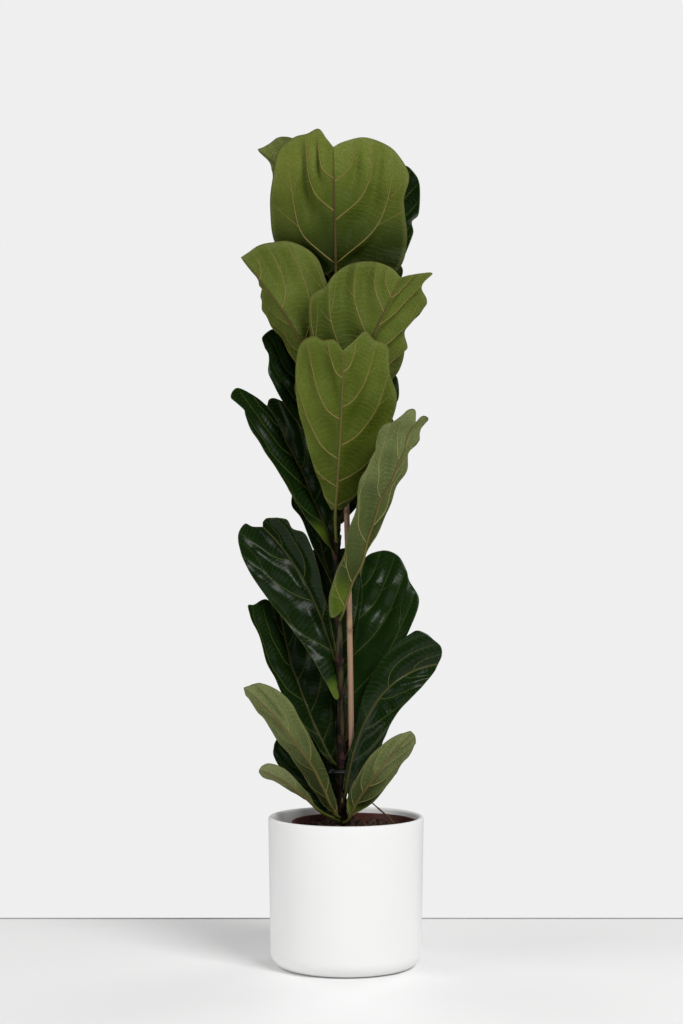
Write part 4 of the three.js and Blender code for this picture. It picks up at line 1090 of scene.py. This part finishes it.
def rib_part(row, look):
    """Stalk and midrib: swollen at the stem, even along the stalk, then thinning to the leaf's tip."""
    stalk = stalk_path(row)[:-1]
    along = np.linspace(0, 0.985, 46)
    rib, upper = blade_points(row, 1, along, 0 * along)
    thick = RIB["grown"] * (1 - along) ** 0.7 + RIB["tip"]
    sunk = smoothstep(along, 0, 0.08) * (thick * RIB["sunk"])
    path = np.concatenate([stalk, rib - upper * sunk[:, None]])
    collar = RIB["collar"] * np.exp(-np.arange(len(stalk)) / RIB["collar_reach"])
    radius = np.concatenate([RIB["grown"] + RIB["tip"] + collar, thick])
    points, faces = bars(path[None], radius[None], RIB["sides"])
    share = np.concatenate([np.linspace(-1, 0, len(stalk)), along])
    return part(points, faces, look, {"along": at_corners(np.repeat(share, RIB["sides"]), faces)})


# %% [markdown]
# ## Leaf finishes
# The upper face is nearly black-green and waxy, with thin yellow-green veins. The underside is yellow-green
# or sage. On both, the blade is a little lighter beside its veins, faint cross veins run like ladder rungs
# between the side veins, and a fine net fills the rest. Stalks go from green into the midrib's brown or tan.
# An image could be laid on the blades. Noises and corner numbers are used, because they stay sharp from near
# by and follow each leaf's own veins.

# %% Mix the leaf finishes
def vein_halo(f, width, soft):
    """1 beside a side vein, falling to 0 over `soft` mm: distance = |phase - nearest whole| x gap."""
    phase, gap = f.number("vein_phase"), f.number("vein_gap")
    distance = ((phase + 0.5).part() - 0.5).size() * gap
    return 1 - f.step(distance, width, width + soft)


def rungs(f):
    """Cross veins: soft lines some 8 mm apart on the run, shifted by a noise and the phase.

    A second noise makes them fainter in places.
    """
    wander = f.noise(36.0, 2.0) * 1.5 + f.number("vein_phase").whole() * 0.37
    run = f.number("vein_run") * 0.125 + wander
    clear = f.step(f.noise(38.0, 2.0), 0.36, 0.62, 0.2, 1.0)
    return (1 - f.step(((run + 0.5).part() - 0.5).size(), 0.02, 0.19)) * clear


def leaf_net(f):
    """Net of the smallest veins: the walls of Voronoi cells some 5 mm wide, on places bent by a noise."""
    sway = f.add("TexNoise", {}, {"Vector": f.place, "Scale": 90.0, "Detail": 2.0}, out="Color")
    bent = f.add("VectorMath", {"operation": "MULTIPLY_ADD"}, {0: sway, 1: (0.006, 0.006, 0.006), 2: f.place},
                 out="Vector")
    walls = f.add("TexVoronoi", {"feature": "DISTANCE_TO_EDGE"}, {"Vector": bent, "Scale": 190.0},
                  out="Distance")
    return 1 - f.step(walls, 0.02, 0.12)


def near_rib(f, low, high):
    """1 on the midrib, falling to 0 from low to high mm beside it."""
    return 1 - f.step(f.number("rib_distance"), low, high)


def near_rim(f, low, high):
    """1 on the rim, falling to 0 from low to high mm inside it."""
    return 1 - f.step(f.number("rim_distance"), low, high)


def upper_finish(name, shade):
    """Upper face; shade is painted shade that darkens its colour: 0 lit, 1 shaded and a little more in deep
    shade.
    """
    f = Finish(name)
    mottle = f.noise(30.0, 4.0)
    cloud = f.noise(11.0)
    net, cross = leaf_net(f), rungs(f)
    # Painted shade: both tones darken as shade rises.
    strength = 1.25 - 0.5 * shade
    deep = [c * strength for c in (0.0030, 0.0105, 0.0013)]
    light = [c * strength for c in (0.0075, 0.0215, 0.0034)]
    skin = f.layers(f.mix(mottle, deep, light),
                    (net * 0.16, (0.016, 0.034, 0.007)),
                    (vein_halo(f, 0.5, 4.5).most(near_rib(f, 1.0, 7.0)) * 0.20, (0.022, 0.050, 0.010)),
                    (cross * 0.22, (0.030, 0.060, 0.013)),
                    (near_rim(f, 0.5, 1.6) * 0.5, (0.060, 0.080, 0.022)),
                    # Young tissue and painted light shining through: bright green at the foot.
                    (f.number("young") * 0.9, (0.068, 0.108, 0.011)),
                    (near_rib(f, 0.7, 1.8) * 0.7, (0.085, 0.080, 0.028)))
    relief = f.noise(60.0) * 1.5 + f.noise(240.0, 3.0) * 0.10 - net * 0.10 - cross * 0.30
    return f.done(skin, 0.13, roughness=cloud * 0.28 + 0.10 + mottle * 0.05,
                  normal=f.bump(relief, 0.5, 0.0007))


def under_finish(name, sage):
    """Underside; sage is how grey and pale it is, 0 to 1. Painted shade darkens its foot, painted light its
    tip.
    """
    f = Finish(name)
    # Painted light: lighter patches laid at random over the blade.
    painted_light_patches = f.step(f.noise(9.0), 0.40, 0.66)
    net, cross = leaf_net(f), rungs(f)

    def tone(green, grey):
        return [a + (b - a) * sage for a, b in zip(green, grey)]

    skin = f.mix(f.noise(22.0, 4.0), tone((0.040, 0.061, 0.0030), (0.062, 0.080, 0.024)),
                 tone((0.078, 0.106, 0.0080), (0.128, 0.155, 0.062)))
    skin = f.layers(skin,
                    # Painted light: the blade grows lighter towards its tip.
                    (f.number("glow") * 0.75, tone((0.125, 0.155, 0.022), (0.180, 0.210, 0.095))),
                    (painted_light_patches * 0.50, tone((0.132, 0.164, 0.022), (0.195, 0.222, 0.105))),
                    (net * 0.34, tone((0.040, 0.060, 0.004), (0.070, 0.090, 0.028))),
                    (cross * (0.32 + 0.15 * sage), tone((0.130, 0.150, 0.022), (0.215, 0.232, 0.110))),
                    (vein_halo(f, 0.6, 3.5) * 0.25, tone((0.120, 0.125, 0.018), (0.165, 0.170, 0.070))),
                    # Painted shade: the blade's foot is darker.
                    (f.number("foot") * 0.75, tone((0.012, 0.021, 0.0008), (0.030, 0.044, 0.008))),
                    # Young tissue and painted light shining through: bright green at the foot.
                    (f.number("young") * 0.6, (0.090, 0.140, 0.008)),
                    # Painted sheen: a lighter grey-green band along the rim. The thin brown line after it is
                    # the rim's own.
                    (near_rim(f, 2.0, 11.0) * 0.25, tone((0.140, 0.170, 0.050), (0.200, 0.220, 0.115))),
                    (near_rim(f, 0.4, 1.7) * 0.65, (0.105, 0.070, 0.022)))
    relief = net * 0.16 + cross * 0.45 + f.noise(60.0, 3.0) * 2.2 + f.noise(300.0, 3.0) * 0.15
    return f.done(skin, 0.07, roughness=f.noise(14.0) * 0.25 + 0.32, normal=f.bump(relief, 0.8, 0.0014))


def rib_finish(name, root, middle, tip):
    """Stalk and midrib, coloured along their length: stalk, first half of the blade, tip."""
    f = Finish(name)
    along = f.number("along")
    streaks = f.noise(160.0, 3.0, (1, 1, 0.2))
    tone = f.layers(f.mix(f.step(along, -0.35, 0.15), root, middle), (f.step(along, 0.35, 0.95), tip),
                    (streaks * 0.4, (0.040, 0.034, 0.012)))
    return f.done(tone, 0.1, roughness=0.5, normal=f.bump(streaks, 0.4, 0.0005))


def vein_finish(name, colour):
    return grained(name, colour, [0.62 * c for c in colour], 210.0, roughness=0.5, specular=0.15)


# One upper finish for each degree of painted shade.
upper_finishes = {shade: upper_finish("leaf_upper_%d" % (10 * shade), shade)
                  for shade in sorted({row["dark"] for row in LEAVES})}
under_finishes = {sage: under_finish("leaf_under_%d" % (100 * sage), sage)
                  for sage in sorted({row["sage"] for row in LEAVES})}
rib_brown = rib_finish("midrib_brown", (0.075, 0.095, 0.014), (0.070, 0.045, 0.015), (0.100, 0.066, 0.024))
rib_green = rib_finish("midrib_green", (0.085, 0.115, 0.016), (0.130, 0.105, 0.032), (0.140, 0.095, 0.040))
vein_tan = vein_finish("veins_under", (0.235, 0.188, 0.052))
vein_yellow = vein_finish("veins_under_pale", (0.260, 0.245, 0.080))
vein_green = vein_finish("veins_upper", (0.110, 0.125, 0.030))
rim_material = grained("leaf_rim", (0.075, 0.085, 0.022), (0.105, 0.075, 0.028), 80.0,
                       roughness=0.5, specular=0.2)

# %% [markdown]
# Each row becomes one mesh with six finishes: upper face, underside, rim, stalk with midrib, and the veins
# below and above. Linked copies would be quicker, but no two leaves of a plant are alike.

# %% Make the leaves
for number, row in enumerate(LEAVES, start=1):
    pale = row["sage"] > 0.5
    rib = rib_green if pale or row["rise"][0][0] < 0.5 else rib_brown
    looks = [upper_finishes[row["dark"]], under_finishes[row["sage"]], rim_material,
             rib, vein_yellow if pale else vein_tan, vein_green]
    parts = blade_parts(row, 0, 1, 2) + [rib_part(row, 3)]
    parts += vein_parts(row, 1, 4, 5) + vein_parts(row, -1, 4, 5)
    make_piece("fig_leaf_%02d" % number, parts, looks, "leaf_%02d" % number)
print("faces a leaf:", sum(len(f) for p in parts for f in p["faces"]))

# %% [markdown]
# ## The stem
# A young fig's stem is olive, lower down purple-brown, with a swollen ring and a leaf scar at every node. Dry
# brown scales, which once wrapped the bud, stay at the nodes. A bevelled curve could be the stem, but it
# would be evenly round. Rings of points are used, whose radius is a sum: a slow taper, a smooth bump at each
# node and a fine unevenness.

# %% Grow the stem
NODE_HEIGHTS = np.array([row["node"] for row in LEAVES], dtype=float)
SWELL = {"height": 1.3, "reach": 4, "scar": 0.5, "scar_reach": 1.3, "scar_above": 6, "uneven": 0.175}
SCALES = {"each": 5, "length": (6, 17), "width": (2.2, 3.6), "lean": (0.8, 6.0), "off": 0.9, "thick": 0.35,
          "rows": 8, "columns": 7}
BUDS = {"top": (2, 3, 28), "top_radius": 4.4, "low": (0.4, -2.2, 11), "low_radius": 2.7, "low_height": 256,
        "low_off": 5.2}


def stem_radius(z):
    """Radius falling evenly from foot to top."""
    t = np.clip((z - STEM["low"]) / (STEM["high"] - STEM["low"]), 0, 1)
    return STEM["radius_low"] + (STEM["radius_high"] - STEM["radius_low"]) * t


def near_node(z, reach):
    """1 at a node, falling as a bell over `reach` mm on both sides."""
    gap = np.min(np.abs(z[..., None] - NODE_HEIGHTS), axis=-1)
    return np.exp(-(gap / reach) ** 2)


def stem_part():
    """Rings up the stem's line, each with its own unevenness round the turn."""
    z = np.linspace(STEM["low"], STEM["high"], 640)
    centre = line_at(STEM_LINE, z)
    sides = 28
    turn = full_turn(sides)
    swell = SWELL["height"] * near_node(z, SWELL["reach"])
    scar = SWELL["scar"] * near_node(z - SWELL["scar_above"], SWELL["scar_reach"])
    uneven = SWELL["uneven"] * ripples(z[:, None] * 0.5, turn * 9, 6, 40, 14, 21)
    radius = (stem_radius(z) + (swell + scar) - 0.25)[:, None] + uneven
    points = np.stack([centre[:, :1] + radius * np.cos(turn), centre[:, 1:2] + radius * np.sin(turn),
                       centre[:, 2:] + 0 * turn], axis=-1)
    faces = tube_faces(len(z), sides)
    return part(points, faces, 0, {"near_node": at_corners(np.repeat(near_node(z, 11), sides), faces)})


def scales_part(look, seed=31):
    """Dry bud scales: narrow boat-shaped leaves that stand up from each node and hug the stem.

    Across a scale the surface follows the stem's circle. Its half width is the largest x
    sin(pi (0.25 + 0.75 v))^0.7, and its tip leans outwards with v squared.
    """
    draw = np.random.default_rng(seed)
    node = np.repeat(NODE_HEIGHTS, SCALES["each"])[:, None, None]
    heading, length, width, lean = (draw.uniform(*limits, len(node))[:, None, None] for limits in (
        (0, 2 * np.pi), SCALES["length"], SCALES["width"], SCALES["lean"]))
    v = np.linspace(0.04, 1, SCALES["rows"])[None, :, None]
    w = np.linspace(-1, 1, SCALES["columns"])[None, None]
    z = node + 1 + length * v
    spread = width * np.sin(np.pi * (0.25 + 0.75 * v)) ** 0.7
    radius = stem_radius(z) + SCALES["off"] + lean * v ** 2
    turn = heading + w * spread / radius
    centre = line_at(STEM_LINE, z)
    sheets = []
    for thick in (SCALES["thick"], 0.0):
        r = radius + thick * (1 - np.abs(w))
        x, y = centre[..., 0] + r * np.cos(turn), centre[..., 1] + r * np.sin(turn)
        sheets.append(np.stack([x, y, z + 0 * r], axis=-1))
    ids = np.arange(SCALES["rows"] * SCALES["columns"]).reshape(SCALES["rows"], -1)
    edge = np.concatenate([ids[:, 0], ids[-1, 1:], ids[-2::-1, -1], ids[0, -2:0:-1]])
    after = np.roll(edge, -1)
    wall = np.stack([edge, after, after + ids.size, edge + ids.size], axis=-1)
    one = np.concatenate([quads(ids)[:, ::-1], quads(ids) + ids.size, wall])
    faces = (one[None] + (np.arange(len(node)) * 2 * ids.size)[:, None, None]).reshape(-1, 4)
    return part(np.stack(sheets, axis=1), [faces], look)


def buds_part(look):
    """Pointed buds: a bar that swells and closes to a point. One tops the stem, one sits near its foot."""
    run = np.linspace(0, 1, 14)
    shape = np.sin(np.pi * (0.22 + 0.78 * run)) ** 0.8
    top = line_at(STEM_LINE, STEM["high"]) + run[:, None] * BUDS["top"] - [0, 0, 3]
    low = line_at(STEM_LINE, BUDS["low_height"]) + [0, -BUDS["low_off"], 0] + run[:, None] * BUDS["low"]
    radii = np.stack([BUDS["top_radius"] * shape, BUDS["low_radius"] * shape])
    points, faces = bars(np.stack([top, low]), radii, 12)
    return part(points, faces, look)


bark = Finish("young_bark")
streaks = bark.noise(210.0, 4.0, (1, 1, 0.12))
rings = bark.noise(330.0, 2.0, (0.15, 0.15, 1))
pores = bark.step(bark.noise(520.0, 1.0), 0.62, 0.70)
grooves = bark.step(streaks, 0.38, 0.66)
bark_low = bark.mix(grooves, (0.0015, 0.0009, 0.0007), (0.034, 0.022, 0.011))
bark_high = bark.mix(grooves, (0.004, 0.004, 0.002), (0.052, 0.050, 0.021))
bark_colour = bark.layers(bark.mix(bark.step(bark.height(), 0.28, 0.62), bark_low, bark_high),
                          (bark.number("near_node") * 0.8, (0.010, 0.0035, 0.003)),
                          (pores * 0.35, (0.11, 0.085, 0.055)))
bark_material = bark.done(base=bark_colour, roughness=0.62 + streaks * 0.2, specular=0.12,
                          normal=bark.bump(streaks + rings * 0.7 + pores * 0.4, 0.6, 0.0008))
scale_material = grained("dry_scales", (0.006, 0.0022, 0.0018), (0.070, 0.025, 0.018), 260.0, 3.0,
                         (1, 1, 0.15), (0.6, 0.0006), roughness=0.75, specular=0.25)
bud_material = grained("green_buds", (0.080, 0.120, 0.020), (0.140, 0.180, 0.040), 190.0,
                       roughness=0.45, specular=0.3)
make_piece("fig_stem", [stem_part(), scales_part(1), buds_part(2)],
           [bark_material, scale_material, bud_material], "stem")
print("nodes on the stem:", len(NODE_HEIGHTS))

# %% [markdown]
# ## The cane, its clip and the dry stalk
# The cane is bamboo: straight, tan, with a raised ring at each joint and fine lines along it. Its joints
# could be separate rings. They are swells of the radius here, because a real joint has no edge. A black
# plastic loop holds stem and cane together. An old leaf stalk stands in the soil on the right.

# %% Cut the cane
CANE = {"radius": 4.55, "low": 60, "high": 850, "joint_gap": 188, "sides": 24}
RING = {"height": 0.65, "reach": 2.6, "groove": 0.35, "groove_reach": 0.9, "groove_above": 3.4}
JOINTS = np.arange(CANE["low"] + CANE["joint_gap"] / 2, CANE["high"] - 4, CANE["joint_gap"])


def cane_part():
    """Radius: plain, plus a bell at each joint with a thin groove above it; the top is cut flat."""
    z = np.linspace(CANE["low"], CANE["high"], 520)
    gap = z[:, None] - JOINTS

    def bells(distance, reach):
        return np.exp(-(distance / reach) ** 2).sum(axis=1)

    groove = RING["groove"] * bells(gap - RING["groove_above"], RING["groove_reach"])
    radius = CANE["radius"] + (RING["height"] * bells(gap, RING["reach"]) - groove)
    points, faces = bars(line_at(STAKE_LINE, z)[None], radius[None], CANE["sides"])
    return part(points, faces, 0, {"near_joint": at_corners(np.repeat(bells(gap, 5), CANE["sides"]), faces)})


cane = Finish("dry_cane")
height = cane.height()
lines = cane.noise(420.0, 4.0, (1, 1, 0.02))
stain = cane.step(cane.noise(30.0, 3.0, (1, 1, 0.5)), 0.52, 0.70)
cane_colour = cane.layers(cane.mix(lines, (0.160, 0.085, 0.047), (0.500, 0.320, 0.200)),
                          (cane.noise(120.0, 2.0, (1, 1, 0.06)) * 0.4, (0.320, 0.190, 0.125)),
                          (cane.step(height, 0.30, 0.62, 1.0, 0.0) * 0.35, (0.130, 0.070, 0.052)),
                          (stain * 0.4, (0.110, 0.062, 0.040)),
                          (cane.step(height, 0.235, 0.30, 1.0, 0.0) * 0.85, (0.022, 0.014, 0.010)),
                          (cane.number("near_joint") * 0.6, (0.075, 0.040, 0.026)))
cane_material = cane.done(cane_colour, 0.35, roughness=0.45 + lines * 0.2,
                          normal=cane.bump(lines, 0.5, 0.0006))
make_piece("bamboo_cane", [cane_part()], [cane_material], "bamboo_stake")
print("joints on the cane at", JOINTS, "mm")

# %% [markdown]
# The clip is a flat band, so a torus would be too round for it. A rounded rectangle goes round an ellipse.
# The dry stalk is a bar along five points. The line that joins them is averaged until it has no corners.

# %% Bend the clip and stand the dry stalk
CLIP = {"z": 307, "x": -6.1, "half_length": 21, "half_depth": 9.5, "band": 1.7, "height": 5,
        "steps": 72, "sides": 16}
DRY_STALK = np.array([(40, -8, 259), (54, -10, 247), (70, -12, 233), (84, -13, 216), (90, -13, 204)])
DRY_STALK_RADII = [0.9, 1.35, 1.65, 1.95, 1.95]


def clip_part():
    """A band with rounded edges round an ellipse: section point = (out, up) on a rounded rectangle."""
    turn = full_turn(CLIP["steps"])[:, None]
    around = full_turn(CLIP["sides"])
    squash = (np.abs(np.cos(around)) ** 4 + np.abs(np.sin(around)) ** 4) ** -0.25
    out = CLIP["band"] * 0.5 * np.cos(around) * squash
    up = CLIP["height"] * 0.5 * np.sin(around) * squash
    points = np.stack([CLIP["x"] + (CLIP["half_length"] + out) * np.cos(turn),
                       (CLIP["half_depth"] + out) * np.sin(turn), CLIP["z"] + up + 0 * turn], axis=-1)
    ids = np.arange(CLIP["steps"] * CLIP["sides"]).reshape(CLIP["steps"], -1)
    return part(points, [quads(np.pad(ids, ((0, 1), (0, 1)), mode="wrap"))])


clip_finish = Finish("black_clip")
clip_wear = clip_finish.noise(150.0, 3.0)
clip_colour = clip_finish.mix(clip_wear, (0.006, 0.006, 0.007), (0.016, 0.016, 0.018))
clip_material = clip_finish.done(clip_colour, 0.5, roughness=0.25 + clip_wear * 0.15,
                                 normal=clip_finish.bump(clip_wear, 0.2, 0.0003))
make_piece("stem_clip", [clip_part()], [clip_material], "clip")


def dry_stalk_part():
    """The stalk's five points joined by a smooth curve, thicker at its foot, with shrunken bumps.

    The curve is the line through the points, twice averaged over nine neighbours.
    """
    order = np.arange(len(DRY_STALK))
    t = np.linspace(0, order[-1], 60)
    line = np.stack([np.interp(t, order, DRY_STALK[:, k]) for k in range(3)], axis=-1)
    for _ in range(2):
        padded = np.pad(line, ((4, 4), (0, 0)), mode="edge")
        line = np.stack([np.convolve(padded[:, k], np.ones(9) / 9, mode="valid") for k in range(3)], axis=-1)
    radius = np.interp(t, order, DRY_STALK_RADII) + 0.12 * np.sin(t * 9)
    points, faces = bars(line[None], radius[None], 12)
    return part(points, faces)


stalk_material = grained("dry_stalk", (0.030, 0.014, 0.008), (0.135, 0.075, 0.042), 240.0, 4.0, (0.3, 1, 1),
                         (0.7, 0.0007), roughness=0.8, specular=0.25)
make_piece("dry_leaf_stalk", [dry_stalk_part()], [stalk_material], "dry_stalk")
print("clip and dry stalk made")
